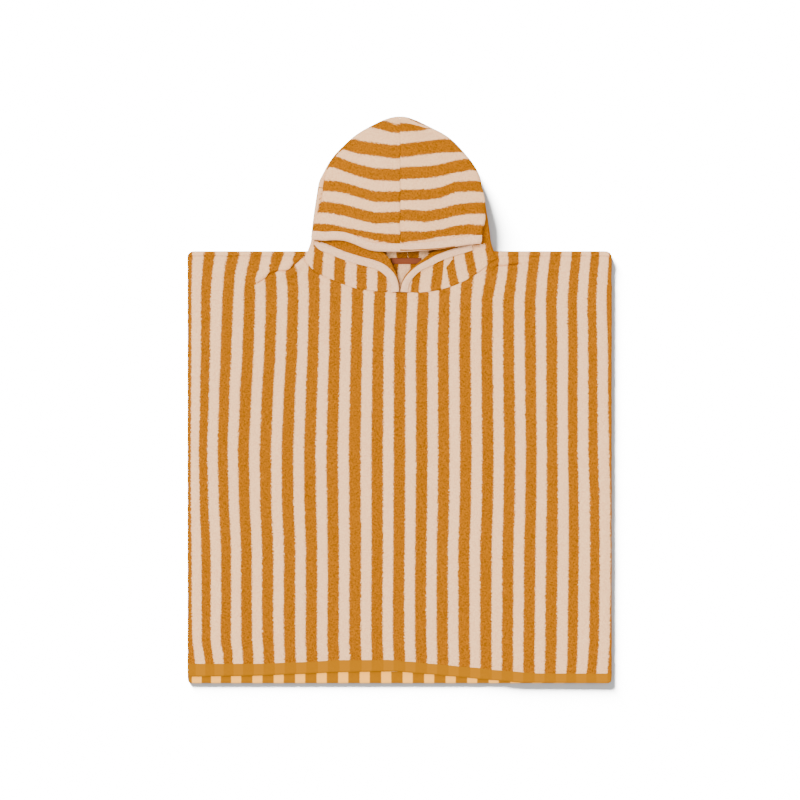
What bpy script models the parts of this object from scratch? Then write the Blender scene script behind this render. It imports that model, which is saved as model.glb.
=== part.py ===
"""Child's hooded terry bath poncho, laid flat on its back.

Metres, +Z up. The origin is on the table, under the middle of the garment's box: the hem is
towards -Y, the hood towards +Y. Tables are in millimetres and carry named columns.

Pieces, each its own closed wall: back panel (it turns over the shoulder line), front panel,
left and right hood panels joined by a centre seam, the face binding in three runs (brim, left
and right lip) and the woven neck label.
"""
import math
from collections import namedtuple

import bmesh
import bpy
from mathutils import Vector

MM = 0.001
SEAM_GAP = 0.3 * MM

# ---------------------------------------------------------------- driving sizes
BODY_WIDTH = 600.0 * MM
GARMENT_LENGTH = 802.0 * MM          # hem to crown, as it lies
SHOULDER_Y = 210.5 * MM              # outermost line of the shoulder fold
TERRY = 3.0 * MM                     # pile cloth
HEM_CLOTH = 2.0 * MM                 # flat-woven hems, no pile
LABEL_CLOTH = 1.0 * MM
BINDING_CLOTH = 2.0 * MM
FOLD_RADIUS = 3.6 * MM               # outside of the shoulder fold
SHOULDER_SEAM_Y = 203.5 * MM         # the seam lies a little down the front
FRONT_REST = TERRY + SEAM_GAP        # underside of the front panel over the back panel
HEM_DEPTH = 16.5 * MM                # flat-woven band across each lower end
SIDE_HEM = 5.5 * MM
HEM_STEP = 1.5 * MM                  # pile ends over this length
CORNER_PULL = 1.4 * MM               # how far each lower corner is rounded in
EDGE_FALL = 20.0 * MM                # the front's ridges die out over this towards its sides
SHOULDER_RISE = 14.0 * MM            # the front climbs to the shoulder seam over this

NECK_LEFT = -135.3 * MM              # side edges of the neck cut-out in both panels
NECK_RIGHT = 137.6 * MM
NAPE_Y = 201.0 * MM                  # hood to back panel
CENTRE_FRONT_Y = 152.3 * MM
NAPE_SEAM_X = 11.9 * MM              # the hood's centre seam meets the nape off centre
CROWN_X = 0.8 * MM
LABEL_X = (-11.6 * MM, 30.9 * MM)
LABEL_DEPTH = 8.7 * MM
LABEL_CURL = 0.8 * MM

Point = namedtuple("Point", "x y")
Station = namedtuple("Station", "x y z")
Ridge = namedtuple("Ridge", "x0 y0 x1 y1 height spread")
SideRow = namedtuple("SideRow", "y notch inset pleat")
CrestRow = namedtuple("CrestRow", "y height")

# Lower edge of the front panel: it rides up over the middle of the body.
FRONT_HEM = (Point(-300, -391.5), Point(-212, -390.4), Point(-141, -387.8), Point(-84, -385.1),
             Point(-7, -383.8), Point(42, -388.0), Point(71, -390.8), Point(132, -396.3),
             Point(170, -400.0), Point(300, -400.8))

# Front neck seam from the shoulder to the foot of the lip's binding, one table a side.
NECK_SEAM = {
    "left": (Point(-128.5, 191.0), Point(-119.5, 181.5), Point(-97.7, 171.2), Point(-66.0, 158.8),
             Point(-33.4, 153.9), Point(-14.0, 152.7)),
    "right": (Point(131.0, 196.5), Point(110.3, 179.7), Point(86.5, 165.8), Point(58.0, 156.0),
              Point(30.0, 152.0), Point(15.5, 152.3)),
}

# Outline of the hood from the corner of the face opening to the crown.
HOOD_OUTLINE = {
    "left": (Point(-126.0, 222.0), Point(-122.8, 251.3), Point(-118.4, 283.8),
             Point(-114.2, 310.0), Point(-106.5, 325.1), Point(-97.9, 338.4),
             Point(-83.0, 353.2), Point(-60.9, 373.8), Point(-39.2, 388.0),
             Point(-21.0, 396.8)),
    "right": (Point(132.0, 222.0), Point(125.6, 251.3), Point(122.4, 273.2),
              Point(118.1, 301.6), Point(108.2, 327.0), Point(90.9, 350.0),
              Point(69.3, 371.6), Point(43.1, 386.2), Point(22.0, 396.2)),
}

# Side of the hood: depth of the pleat between its lower and upper bulge, how far the upper
# bulge stands back, and how much of the pleat is left (0 none, 1 full).
HOOD_SIDE = {
    "left": (SideRow(222, 12, 1.0, 1.0), SideRow(243, 14, 1.7, 1.0), SideRow(262, 15, 4.5, 1.0),
             SideRow(283, 15, 6.5, 0.9), SideRow(304, 15, 8.0, 0.8), SideRow(333, 11, 5.5, 0.55),
             SideRow(354, 7, 2.0, 0.15), SideRow(375, 6, 0.0, 0.0), SideRow(401, 6, 0.0, 0.0)),
    "right": (SideRow(222, 28, 13.5, 1.0), SideRow(232, 26, 12.0, 1.0), SideRow(250, 22, 5.0, 1.0),
              SideRow(280, 12, 0.0, 0.8), SideRow(315, 6, 0.0, 0.0), SideRow(401, 6, 0.0, 0.0)),
}

# How far the brim is drawn up over the face opening, towards the crown.
BRIM_RISE = {
    "left": (Point(-124, 8.0), Point(-110, 8.5), Point(-98, 11.0), Point(-84, 13.0),
             Point(-70, 11.0), Point(-56, 6.0), Point(-42, 1.5), Point(-28, 0.3), Point(1, 0.0)),
    "right": (Point(1, 0.0), Point(36, 1.5), Point(57, 2.7), Point(85, 4.4), Point(100, 5.0),
              Point(114, 4.0), Point(132, 3.0)),
}

# Height of the hood along its centre seam, and how far the cross lines bow towards the hem.
HOOD_CREST = (CrestRow(212, 28), CrestRow(235, 32), CrestRow(265, 36), CrestRow(300, 36),
              CrestRow(335, 32), CrestRow(365, 24), CrestRow(388, 16), CrestRow(398, 9.4))
HOOD_BOW = (CrestRow(222, 10), CrestRow(265, 13), CrestRow(310, 13), CrestRow(353, 6),
            CrestRow(385, 1.5), CrestRow(401, 0))

# Ridge of each lip of the face opening, from its corner to the centre front.
LIP = {
    "left": (Station(-113.0, 221.0, 12.0), Station(-100.0, 216.0, 13.0),
             Station(-85.8, 209.6, 14.2), Station(-71.7, 204.1, 15.0), Station(-57.2, 199.7, 16.0),
             Station(-43.1, 195.9, 16.5), Station(-29.2, 191.5, 16.5), Station(-20.0, 186.3, 16.0),
             Station(-12.5, 179.0, 14.8), Station(-8.0, 172.5, 13.4), Station(-5.2, 163.5, 11.0),
             Station(-4.2, 153.3, 8.8)),
    "right": (Station(104.0, 212.5, 12.0), Station(86.0, 209.4, 13.0), Station(72.0, 207.5, 14.0),
              Station(58.4, 204.0, 14.8), Station(45.0, 197.5, 15.5), Station(31.2, 188.2, 15.5),
              Station(24.0, 182.0, 15.0), Station(17.4, 175.8, 14.2), Station(10.8, 167.4, 12.6),
              Station(7.0, 160.0, 10.5), Station(4.8, 153.3, 8.8)),
}
LIP_LEG = {"left": 13.0 * MM, "right": 5.0 * MM}     # length of the binding's inner leg

# Soft ridges of the front panel where it lies: shoulder tucks, then the long swells.
RIDGES = (Ridge(-139, 196, -160, 178, 3.4, 8), Ridge(-160, 178, -200, 170, 2.4, 8),
          Ridge(143, 192, 172, 188, 2.4, 8), Ridge(-235, 140, -228, -330, 1.4, 28),
          Ridge(-72, 120, -64, -350, 1.8, 32), Ridge(20, 60, 4, -372, 1.6, 26),
          Ridge(104, 130, 118, -330, 1.4, 26), Ridge(222, 150, 214, -300, 1.8, 30),
          Ridge(-150, -300, -20, -372, 1.5, 20), Ridge(-180, 60, -150, -120, 1.2, 22))

# ---------------------------------------------------------------- grid counts
SHOULDER_COLUMNS = 9
NECK_COLUMNS = 14                    # neck stations a side, shared by hood and front panel
BACK_ROWS = 12
FRONT_ROWS = 22
WRAP_STEPS = 5
FLAT_COLUMNS = 6                     # hood columns lying on the table
ARC_COLUMNS = 4                      # each bulge
PLEAT_COLUMN = FLAT_COLUMNS + ARC_COLUMNS + 2
UPPER_ARC_START = PLEAT_COLUMN + 2
TOP_START = UPPER_ARC_START + ARC_COLUMNS
TOP_COLUMNS = 9
HOOD_COLUMNS = TOP_START + TOP_COLUMNS
HOOD_ROWS = 15
LIP_ROWS = 5
BRIM_ROWS = 4                        # rows that the brim's rise fades over
BULGE_END = FLAT_COLUMNS + ARC_COLUMNS
LIP_COLUMNS = BULGE_END + NECK_COLUMNS
FINE_STEPS = 24                      # steps of a curve between two rows of its table
WELD = 0.02 * MM                     # grid edges closer than this are joined

# Hood section sizes
LOWER_RADIUS = 5.0 * MM
UPPER_RADIUS = 4.8 * MM
PLEAT_GAP = 1.6 * MM                 # air between the two lips of the pleat
CROWN_RADIUS = 4.7 * MM
ROLL_DEPTH = 7.0 * MM                # plan depth of the plain side roll
CROWN_DROP = 7.0 * MM                # cross lines dip to the seam by this at the crown
BRIM_BINDING_WIDTH = 8.4 * MM
LIP_BINDING_WIDTH = {"left": 8.0 * MM, "right": 6.6 * MM}
BINDING_MARGIN = 1.2 * MM            # least cloth left between the binding and the neck seam
SEAM_STRIP = 3.5 * MM                # least width of the level strip beside the top seam
BINDING_REST = 0.4 * MM              # binding's inner face off the cloth that it wraps
CENTRE_CROWDING = 1.35               # stations draw closer towards the centre front
LIP_CLEARANCE = 5.8 * MM             # lowest point of the lips' inner legs, over the label
LIP_TILT = {"left": math.radians(38), "right": math.radians(76)}   # inner leg below level
LEG_AT_ENDS = 0.15                   # share of the inner leg left at both ends of a lip
NECK_EDGE_TOP = 7.0 * MM             # outside of the hood at the front neck seam
LIP_HOLLOW = 0.35                    # 1 for a straight climb from the neck seam to the lip
CROWN_START = 330.0 * MM             # the side roll turns into the crown's from here
CROWN_SPAN = 68.0 * MM
TOP_START_Y = 385.0 * MM             # the outline's outward direction turns up from here
TOP_SPAN = 14.0 * MM
MOUTH_TOP = 250.0 * MM               # the pleat opens below this, towards the face opening
MOUTH_SPAN = 28.0 * MM
MOUTH_GAP = 1.4 * MM
MOUTH_SWELL = 0.8 * MM


# ---------------------------------------------------------------- curves and tables
def smooth_step(value):
    """0 to 1 with level ends."""
    value = min(max(value, 0.0), 1.0)
    return value * value * (3.0 - 2.0 * value)


def hermite(p0, p1, p2, p3, t):
    """Catmull-Rom point between p1 and p2."""
    return 0.5 * (2 * p1 + (p2 - p0) * t + (2 * p0 - 5 * p1 + 4 * p2 - p3) * t * t
                  + (3 * p1 - p0 - 3 * p2 + p3) * t ** 3)


def look_up(rows, key, column, at):
    """Value of a table's column at a key, in metres, smoothly between its rows."""
    at = at / MM
    keys = [getattr(row, key) for row in rows]
    values = [getattr(row, column) for row in rows]
    if at <= keys[0]:
        return values[0] * MM
    if at >= keys[-1]:
        return values[-1] * MM
    k = next(index for index in range(len(keys) - 1) if keys[index + 1] >= at)
    t = smooth_step((at - keys[k]) / (keys[k + 1] - keys[k]))
    linear = (at - keys[k]) / (keys[k + 1] - keys[k])
    t = 0.5 * (t + linear)
    return (values[k] + (values[k + 1] - values[k]) * t) * MM


def trace(rows, count, crowding=1.0):
    """Points along the smooth curve through a table's rows, in metres.

    They are evenly apart, or draw closer towards the end where crowding is above 1.
    """
    marks = [Vector([value * MM for value in row]) for row in rows]
    ends = [2 * marks[0] - marks[1]] + marks + [2 * marks[-1] - marks[-2]]
    fine = []
    for k in range(len(marks) - 1):
        fine += [hermite(*ends[k:k + 4], step / FINE_STEPS) for step in range(FINE_STEPS)]
    fine.append(marks[-1])
    lengths = [0.0]
    for a, b in zip(fine, fine[1:]):
        lengths.append(lengths[-1] + (b - a).length)
    points = []
    k = 0
    for n in range(count + 1):
        goal = lengths[-1] * (1 - (1 - n / count) ** crowding)
        while k < len(fine) - 2 and lengths[k + 1] < goal:
            k += 1
        t = (goal - lengths[k]) / (lengths[k + 1] - lengths[k])
        points.append(fine[k].lerp(fine[k + 1], min(t, 1.0)))
    return points


# ---------------------------------------------------------------- building blocks
def add_grid(bm, columns, rows, place):
    """A grid of columns x rows cells whose vertices are set by place(column, row)."""
    made = bmesh.ops.create_grid(bm, x_segments=columns, y_segments=rows, size=0.5)
    for vertex in made["verts"]:
        column = round((vertex.co.x + 0.5) * columns)
        row = round((vertex.co.y + 0.5) * rows)
        vertex.co = place(column, row)


def finish_wall(name, bm, thickness, material, outward, thin=None):
    """Close an open surface into a wall with Solidify.

    outward 1 adds the wall along the normals, -1 against them. thin(point) gives the share of
    the thickness that a point gets.
    """
    bmesh.ops.remove_doubles(bm, verts=bm.verts, dist=WELD)
    mesh = bpy.data.meshes.new(name)
    bm.to_mesh(mesh)
    bm.free()
    mesh.shade_smooth()
    piece = bpy.data.objects.new(name, mesh)
    GARMENT.objects.link(piece)
    piece.data.materials.append(material)
    wall = piece.modifiers.new("wall", "SOLIDIFY")
    wall.thickness = thickness
    wall.offset = outward
    if thin:
        group = piece.vertex_groups.new(name="pile")
        for vertex in mesh.vertices:
            group.add([vertex.index], thin(vertex.co), "REPLACE")
        wall.vertex_group = group.name
    return piece


def cloth(name, colour, roughness):
    """A plain cloth material."""
    material = bpy.data.materials.new(name)
    material.use_nodes = True
    shader = material.node_tree.nodes["Principled BSDF"]
    shader.inputs["Base Color"].default_value = (*colour, 1.0)
    shader.inputs["Roughness"].default_value = roughness
    shader.inputs["Metallic"].default_value = 0.0
    return material


# ---------------------------------------------------------------- body panels
def body_columns():
    """X of every body column: left shoulder, left and right neck stations, right shoulder."""
    left = [station.x for station in trace(NECK_SEAM["left"], NECK_COLUMNS, CENTRE_CROWDING)]
    right = [station.x for station in trace(NECK_SEAM["right"], NECK_COLUMNS, CENTRE_CROWDING)]
    half = BODY_WIDTH / 2
    shoulders = [step / SHOULDER_COLUMNS for step in range(SHOULDER_COLUMNS + 1)]
    outer_left = [-half + (NECK_LEFT + half) * share for share in shoulders]
    outer_right = [NECK_RIGHT + (half - NECK_RIGHT) * share for share in shoulders]
    outer_left.insert(1, -half + SIDE_HEM)
    outer_left.insert(2, -half + SIDE_HEM + HEM_STEP)
    outer_right.insert(-1, half - SIDE_HEM - HEM_STEP)
    outer_right.insert(-1, half - SIDE_HEM)
    return outer_left, left, right[::-1], outer_right


def pile_share(low_edge):
    """How much of the terry's thickness a point has, thinner on the woven hems."""
    hem_share = HEM_CLOTH / TERRY
    half = BODY_WIDTH / 2

    def share(point):
        from_side = half - abs(point.x)
        from_low = point.y - low_edge(point.x)
        in_hem = from_side < SIDE_HEM + HEM_STEP / 2 or from_low < HEM_DEPTH + HEM_STEP / 2
        return hem_share if in_hem else 1.0
    return share


def hem_levels(count):
    """Shares of the way up a panel, with the hem's step picked out."""
    length = SHOULDER_Y + GARMENT_LENGTH / 2
    low = [0.0, HEM_DEPTH / length, (HEM_DEPTH + HEM_STEP) / length]
    rest = count - len(low) + 1
    return low + [low[-1] + (1 - low[-1]) * (step + 1) / rest for step in range(rest)]


def rounded(x, y, low_edge):
    """Pull the lower corners in."""
    at_side = abs(abs(x) - BODY_WIDTH / 2) < 1e-6
    at_hem = abs(y - low_edge) < 1e-6
    if at_side and at_hem:
        return x - math.copysign(CORNER_PULL, x), y + CORNER_PULL
    return x, y


def build_back(material):
    """Back panel: flat on the table, turned over the shoulder line to the shoulder seam."""
    outer_left, neck_left, neck_right, outer_right = body_columns()
    inner = neck_left[3::4] + [CROWN_X] + neck_right[1:-1:4]
    columns = outer_left + inner + outer_right
    hem_y = -GARMENT_LENGTH / 2
    levels = hem_levels(BACK_ROWS)
    top_y = NAPE_Y - SEAM_GAP / 2
    bm = bmesh.new()

    def place_sheet(column, row):
        x, y = rounded(columns[column], hem_y + (top_y - hem_y) * levels[row], hem_y)
        return Vector((x, y, 0.0))
    add_grid(bm, len(columns) - 1, len(levels) - 1, place_sheet)

    fold_y = SHOULDER_Y - FOLD_RADIUS
    wrap = [(top_y, 0.0)]
    for step in range(WRAP_STEPS + 1):
        angle = math.pi * step / WRAP_STEPS
        wrap.append((fold_y + FOLD_RADIUS * math.sin(angle), FOLD_RADIUS * (1 - math.cos(angle))))
    wrap.append((SHOULDER_SEAM_Y + SEAM_GAP / 2, 2 * FOLD_RADIUS))
    for side in (outer_left, outer_right):
        add_grid(bm, len(side) - 1, len(wrap) - 1,
                 lambda column, row, side=side: Vector((side[column], *wrap[row])))
    bmesh.ops.reverse_faces(bm, faces=bm.faces)
    return finish_wall("back_panel", bm, TERRY, material, -1, pile_share(lambda x: hem_y))


def ridge_height(x, y):
    """Rise of the front panel's soft ridges at a point, metres."""
    rise = 0.0
    for ridge in RIDGES:
        start = Vector((ridge.x0, ridge.y0)) * MM
        along = Vector((ridge.x1, ridge.y1)) * MM - start
        to_point = Vector((x, y)) - start
        share = min(max(to_point.dot(along) / along.length_squared, 0.0), 1.0)
        distance = (to_point - along * share).length / (ridge.spread * MM)
        rise = max(rise, ridge.height * MM * math.exp(-distance * distance))
    return rise


def front_underside(x, y):
    """Height of the front panel's inner face."""
    to_shoulder = smooth_step((y - SHOULDER_SEAM_Y + SHOULDER_RISE) / SHOULDER_RISE)
    shoulder_rest = 2 * FOLD_RADIUS - TERRY
    edge = smooth_step((BODY_WIDTH / 2 - abs(x)) / EDGE_FALL)
    ridge = ridge_height(x, y) * edge * (1 - to_shoulder)
    return FRONT_REST + (shoulder_rest - FRONT_REST) * to_shoulder + ridge


def build_front(material):
    """Front panel, from the shoulder seam and the neck seam to its hem."""
    outer_left, neck_left, neck_right, outer_right = body_columns()
    left_stations = trace(NECK_SEAM["left"], NECK_COLUMNS, CENTRE_CROWDING)
    right_stations = trace(NECK_SEAM["right"], NECK_COLUMNS, CENTRE_CROWDING)
    centre = Vector((CROWN_X, CENTRE_FRONT_Y))
    stations = left_stations + [centre] + right_stations[::-1]
    shoulder_top = SHOULDER_SEAM_Y - SEAM_GAP / 2
    tops = [(x, shoulder_top) for x in outer_left]
    tops += [(station.x, station.y - SEAM_GAP / 2) for station in stations]
    tops += [(x, shoulder_top) for x in outer_right]
    length = SHOULDER_Y + GARMENT_LENGTH / 2
    levels = hem_levels(FRONT_ROWS)

    def hem_edge(x):
        return look_up(FRONT_HEM, "x", "y", x)

    def place(column, row):
        x, top = tops[column]
        low = hem_edge(x)
        if row < 3:
            y = low + levels[row] * length
        else:
            start = low + levels[2] * length
            y = start + (top - start) * (levels[row] - levels[2]) / (1 - levels[2])
        x, y = rounded(x, y, low)
        return Vector((x, y, front_underside(x, y)))

    bm = bmesh.new()
    add_grid(bm, len(tops) - 1, len(levels) - 1, place)
    return finish_wall("front_panel", bm, TERRY, material, 1, pile_share(hem_edge))


# ---------------------------------------------------------------- hood
class HoodHalf:
    """Outside of one hood panel as two joined grids around the corner of the face opening.

    The lower grid runs from the neck seam to the lip, the upper grid from the row of the
    corner to the crown. Columns run from the nape seam outwards over the table, round the side
    with its pleat and back over the top to the centre seam.
    """

    def __init__(self, side):
        self.side = side
        self.sign = -1 if side == "left" else 1
        self.gap = self.sign * SEAM_GAP / 2
        outline = trace(HOOD_OUTLINE[side], HOOD_ROWS)
        crown = Vector((CROWN_X, GARMENT_LENGTH / 2))
        self.outline = outline + [crown, crown]
        self.neck = trace(NECK_SEAM[side], NECK_COLUMNS, CENTRE_CROWDING)
        self.lip = trace(LIP[side], NECK_COLUMNS - 2, CENTRE_CROWDING)

    def seam_x(self, y):
        """X of the centre seam in the layer on the table."""
        crown_y = GARMENT_LENGTH / 2 - CROWN_RADIUS - CROWN_DROP
        share = min((y - NAPE_Y) / (crown_y - NAPE_Y), 1.0)
        return NAPE_SEAM_X + (CROWN_X - NAPE_SEAM_X) * share + self.gap

    def plan_normal(self, row):
        """Outward direction of the outline at a row."""
        if row >= HOOD_ROWS:
            return Vector((0.0, 1.0))
        before = self.outline[max(row - 1, 0)]
        along = (self.outline[row + 1] - before).normalized()
        turn = Vector((-along.y, along.x)) if self.side == "left" else Vector((along.y, -along.x))
        level = smooth_step((self.outline[row].y - TOP_START_Y) / TOP_SPAN)
        return turn.lerp(Vector((0.0, 1.0)), level).normalized()

    def side_section(self, row):
        """(depth from the outline, height) of each side column of a row, bottom to top."""
        y = self.outline[row].y
        crown = smooth_step((y - CROWN_START) / CROWN_SPAN)
        notch = look_up(HOOD_SIDE[self.side], "y", "notch", y)
        inset = look_up(HOOD_SIDE[self.side], "y", "inset", y)
        pleat = look_up(HOOD_SIDE[self.side], "y", "pleat", y) / MM
        mouth = smooth_step((MOUTH_TOP - y) / MOUTH_SPAN)
        gap = PLEAT_GAP + MOUTH_GAP * mouth
        upper = UPPER_RADIUS + MOUTH_SWELL * mouth
        total = 2 * LOWER_RADIUS + gap + 2 * upper
        height = total + (2 * CROWN_RADIUS - total) * crown
        depth = ROLL_DEPTH + (CROWN_RADIUS - ROLL_DEPTH) * crown
        folded = []
        for step in range(ARC_COLUMNS + 1):
            angle = math.pi * step / ARC_COLUMNS
            folded.append((LOWER_RADIUS * (1 - math.sin(angle)),
                           LOWER_RADIUS * (1 - math.cos(angle))))
        low = 2 * LOWER_RADIUS
        folded.append((notch - gap / 2, low))
        folded.append((notch, low + gap / 2))
        folded.append((notch - gap / 2, low + gap))
        for step in range(ARC_COLUMNS + 1):
            angle = math.pi * step / ARC_COLUMNS
            folded.append((inset + upper * (1 - math.sin(angle)),
                           low + gap + upper * (1 - math.cos(angle))))
        section = []
        last = len(folded) - 1
        for step, (fold_depth, fold_height) in enumerate(folded):
            angle = math.pi * step / last
            plain = (depth * (1 - math.sin(angle)), height * (1 - math.cos(angle)) / 2)
            section.append((plain[0] + (fold_depth - plain[0]) * pleat,
                            plain[1] + (fold_height - plain[1]) * pleat))
        return section

    def upper_point(self, column, row):
        """A point of the upper grid, its brim drawn up over the face opening."""
        point = self.plain_point(column, row)
        if row < BRIM_ROWS and column > PLEAT_COLUMN:
            share = (1 - row / BRIM_ROWS) * min((column - PLEAT_COLUMN) / ARC_COLUMNS, 1.0)
            point.y += look_up(BRIM_RISE[self.side], "x", "y", point.x) * share
        return point

    def plain_point(self, column, row):
        """A point of the upper grid before the brim is drawn up.

        The last row runs along the centre seam itself, the row before it stands a strip off it.
        """
        if row == HOOD_ROWS + 1:
            point = self.plain_point(column, row + 1)
            share = 0.0 if column == HOOD_COLUMNS else min(column / FLAT_COLUMNS, 1.0)
            return point + Vector((self.sign * SEAM_STRIP * share, 0.0, 0.0))
        edge = self.outline[row]
        section = self.side_section(row)
        drop = CROWN_DROP * smooth_step((row - HOOD_ROWS + 4) / 4)
        if FLAT_COLUMNS <= column <= TOP_START:
            depth, height = section[column - FLAT_COLUMNS]
            plan = edge - self.plan_normal(row) * depth
            return Vector((self.keep_side(plan.x), plan.y, height))
        if column < FLAT_COLUMNS:
            plan = edge - self.plan_normal(row) * section[0][0]
            share = column / FLAT_COLUMNS
            y = plan.y - drop * (1 - share)
            end = self.keep_side(plan.x)
            start = self.seam_x(y) if row <= HOOD_ROWS else end
            return Vector((start + (end - start) * share, y, 0.0))
        depth, side_height = section[-1]
        plan = edge - self.plan_normal(row) * depth
        share = (column - TOP_START) / TOP_COLUMNS
        end = self.keep_side(plan.x)
        span = CROWN_X + self.gap - end
        rise = min(share * TOP_COLUMNS / (TOP_COLUMNS - 1), 1.0)
        strip = max(SEAM_STRIP, abs(span) / TOP_COLUMNS) if row <= HOOD_ROWS else 0.0
        x = CROWN_X + self.gap if share == 1 else end + (span + self.sign * strip) * rise
        bow = look_up(HOOD_BOW, "y", "height", edge.y)
        rounding = smooth_step((edge.y - CROWN_START) / CROWN_SPAN)
        crown_shift = self.plan_normal(row).y * CROWN_RADIUS * rounding
        seam_y = edge.y - crown_shift - bow - drop
        ease = rise if row > HOOD_ROWS else 1 - (1 - rise) ** 2
        y = plan.y + (seam_y - plan.y) * ease
        crest = max(look_up(HOOD_CREST, "y", "height", y), side_height)
        return Vector((x, y, side_height + (crest - side_height) * math.sin(rise * math.pi / 2)))

    def keep_side(self, x):
        """Keep a point on this half's side of the centre seam."""
        limit = CROWN_X + self.gap
        return min(x, limit) if self.side == "left" else max(x, limit)

    def neck_ring(self, column):
        """A point of the lowest row: nape seam, shoulder corner, then front neck seam."""
        nape = NAPE_Y + SEAM_GAP / 2
        corner = self.neck[0]
        inner = corner.x
        if column <= FLAT_COLUMNS:
            start = NAPE_SEAM_X + self.gap
            return Vector((start + (inner - start) * column / FLAT_COLUMNS, nape, 0.0))
        if column < BULGE_END:
            angle = math.pi * (column - FLAT_COLUMNS) / ARC_COLUMNS
            forward = max(column - FLAT_COLUMNS - 2, 0) / (ARC_COLUMNS - 2)
            nape += 2 * SEAM_GAP * smooth_step((column - FLAT_COLUMNS + 1) / 2)
            y = nape + (corner.y + SEAM_GAP - nape) * forward ** 2
            return Vector((inner + self.sign * LOWER_RADIUS * math.sin(angle), y,
                           LOWER_RADIUS * (1 - math.cos(angle))))
        station = self.neck[column - BULGE_END]
        fall = smooth_step((column - BULGE_END) / 3)
        height = 2 * LOWER_RADIUS + (NECK_EDGE_TOP - 2 * LOWER_RADIUS) * fall
        return Vector((station.x, station.y + SEAM_GAP, height))

    def lip_ring(self, column):
        """A point of the lower grid's top row: the corner row, then the lip."""
        if column <= PLEAT_COLUMN:
            return self.upper_point(column, 0)
        station = self.lip[column - PLEAT_COLUMN]
        first = self.upper_point(PLEAT_COLUMN, 0)
        fade = 1 - min((column - PLEAT_COLUMN) / 3, 1.0)
        return station + (first - self.lip[0]) * fade

    def lower_point(self, column, row):
        """A point of the lower grid."""
        low = self.neck_ring(column)
        high = self.lip_ring(column)
        share = row / LIP_ROWS
        point = low.lerp(high, share)
        if column > BULGE_END:
            level = 1 / LIP_ROWS
            rise = max(share - level, 0.0) / (1 - level)
            climb = LIP_HOLLOW * rise + (1 - LIP_HOLLOW) * rise ** 2
            point.z = low.z + (high.z - low.z) * climb
        return point

    def build(self, material):
        """The panel's wall."""
        bm = bmesh.new()
        add_grid(bm, LIP_COLUMNS, LIP_ROWS, self.lower_point)
        add_grid(bm, HOOD_COLUMNS, HOOD_ROWS + 2, self.upper_point)
        if self.side == "right":
            bmesh.ops.reverse_faces(bm, faces=bm.faces)
        return finish_wall("hood_" + self.side, bm, TERRY, material, -1)


# ---------------------------------------------------------------- face binding
def along_line(points, distance):
    """Point at a distance along a broken line, or its end."""
    left = distance
    for a, b in zip(points, points[1:]):
        step = (b - a).length
        if left <= step:
            return a.lerp(b, left / step)
        left -= step
    return points[-1]


class Edge:
    """One station of the face opening's edge: cloth lines from it and its own directions."""

    def __init__(self, line, before, after, sign):
        self.line = line
        self.across = (line[0] - along_line(line, 4 * MM)).normalized()
        self.out = (after - before).cross(self.across).normalized() * sign
        self.length = sum((b - a).length for a, b in zip(line, line[1:]))

    def outside(self, distance, lift):
        """Point over the cloth at a distance in from the edge."""
        return along_line(self.line, distance) + self.out * lift

    def around(self, angle, radius):
        """Point around the cloth's cut edge, angle 0 on its outside."""
        middle = self.line[0] - self.out * (TERRY / 2)
        return middle + (self.out * math.cos(angle) + self.across * math.sin(angle)) * radius


def lip_edge(half, column):
    """Edge station on a lower lip."""
    line = [half.lower_point(column, row) for row in range(LIP_ROWS, -1, -1)]
    before = half.lower_point(column - 1, LIP_ROWS)
    after = half.lower_point(min(column + 1, LIP_COLUMNS), LIP_ROWS)
    return Edge(line, before, after, -half.sign)


def brim_edge(half, column):
    """Edge station on the brim."""
    line = [half.upper_point(column, row) for row in range(3)]
    before = half.upper_point(column - 1, 0)
    after = half.upper_point(min(column + 1, HOOD_COLUMNS), 0)
    return Edge(line, before, after, half.sign)


def build_binding(name, paths, material, flip):
    """A binding run: a wall around the cut edge, from the inner faces of its stations."""
    bm = bmesh.new()
    add_grid(bm, len(paths[0]) - 1, len(paths) - 1, lambda column, row: paths[row][column])
    if flip:
        bmesh.ops.reverse_faces(bm, faces=bm.faces)
    return finish_wall(name, bm, BINDING_CLOTH, material, 1)


def lip_path(half, column):
    """Binding line across a lower lip: outer leg, roll, then the open inner leg."""
    edge = lip_edge(half, column)
    to_end = smooth_step((LIP_COLUMNS - column) / 4)
    to_corner = smooth_step((column - PLEAT_COLUMN) / 4)
    wide = min(LIP_BINDING_WIDTH[half.side], edge.length - BINDING_MARGIN)
    radius = TERRY / 2 + BINDING_REST
    path = [edge.outside(wide * share, BINDING_REST) for share in (1.0, 0.6, 0.25)]
    path += [edge.around(math.radians(angle), radius) for angle in (0, 45, 90)]
    level = Vector((edge.across.x, edge.across.y, 0.0)).normalized()
    tilt = LIP_TILT[half.side]
    open_leg = level * math.cos(tilt) - Vector((0, 0, 1)) * math.sin(tilt)
    down = (-edge.out).lerp(open_leg, to_end).normalized()
    reach = LIP_LEG[half.side] * (LEG_AT_ENDS + (1 - LEG_AT_ENDS) * min(to_end, to_corner))
    room = max(path[-1].z - LIP_CLEARANCE, 1.0 * MM)
    length = min(reach, room / -down.z)
    start = path[-1]
    return path + [start + down * length * share for share in (0.5, 1.0)]


def brim_path(half, column):
    """Binding line across the brim: outer leg, roll under the edge, inner leg."""
    edge = brim_edge(half, column)
    radius = TERRY / 2 + BINDING_REST
    inner_lift = -TERRY - BINDING_REST
    path = [edge.outside(BRIM_BINDING_WIDTH * share, BINDING_REST) for share in (1.0, 0.5)]
    path += [edge.around(math.radians(angle), radius) for angle in (0, 45, 90, 135, 180)]
    path += [edge.outside(BRIM_BINDING_WIDTH * share, inner_lift) for share in (0.6, 1.2)]
    return path


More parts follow.
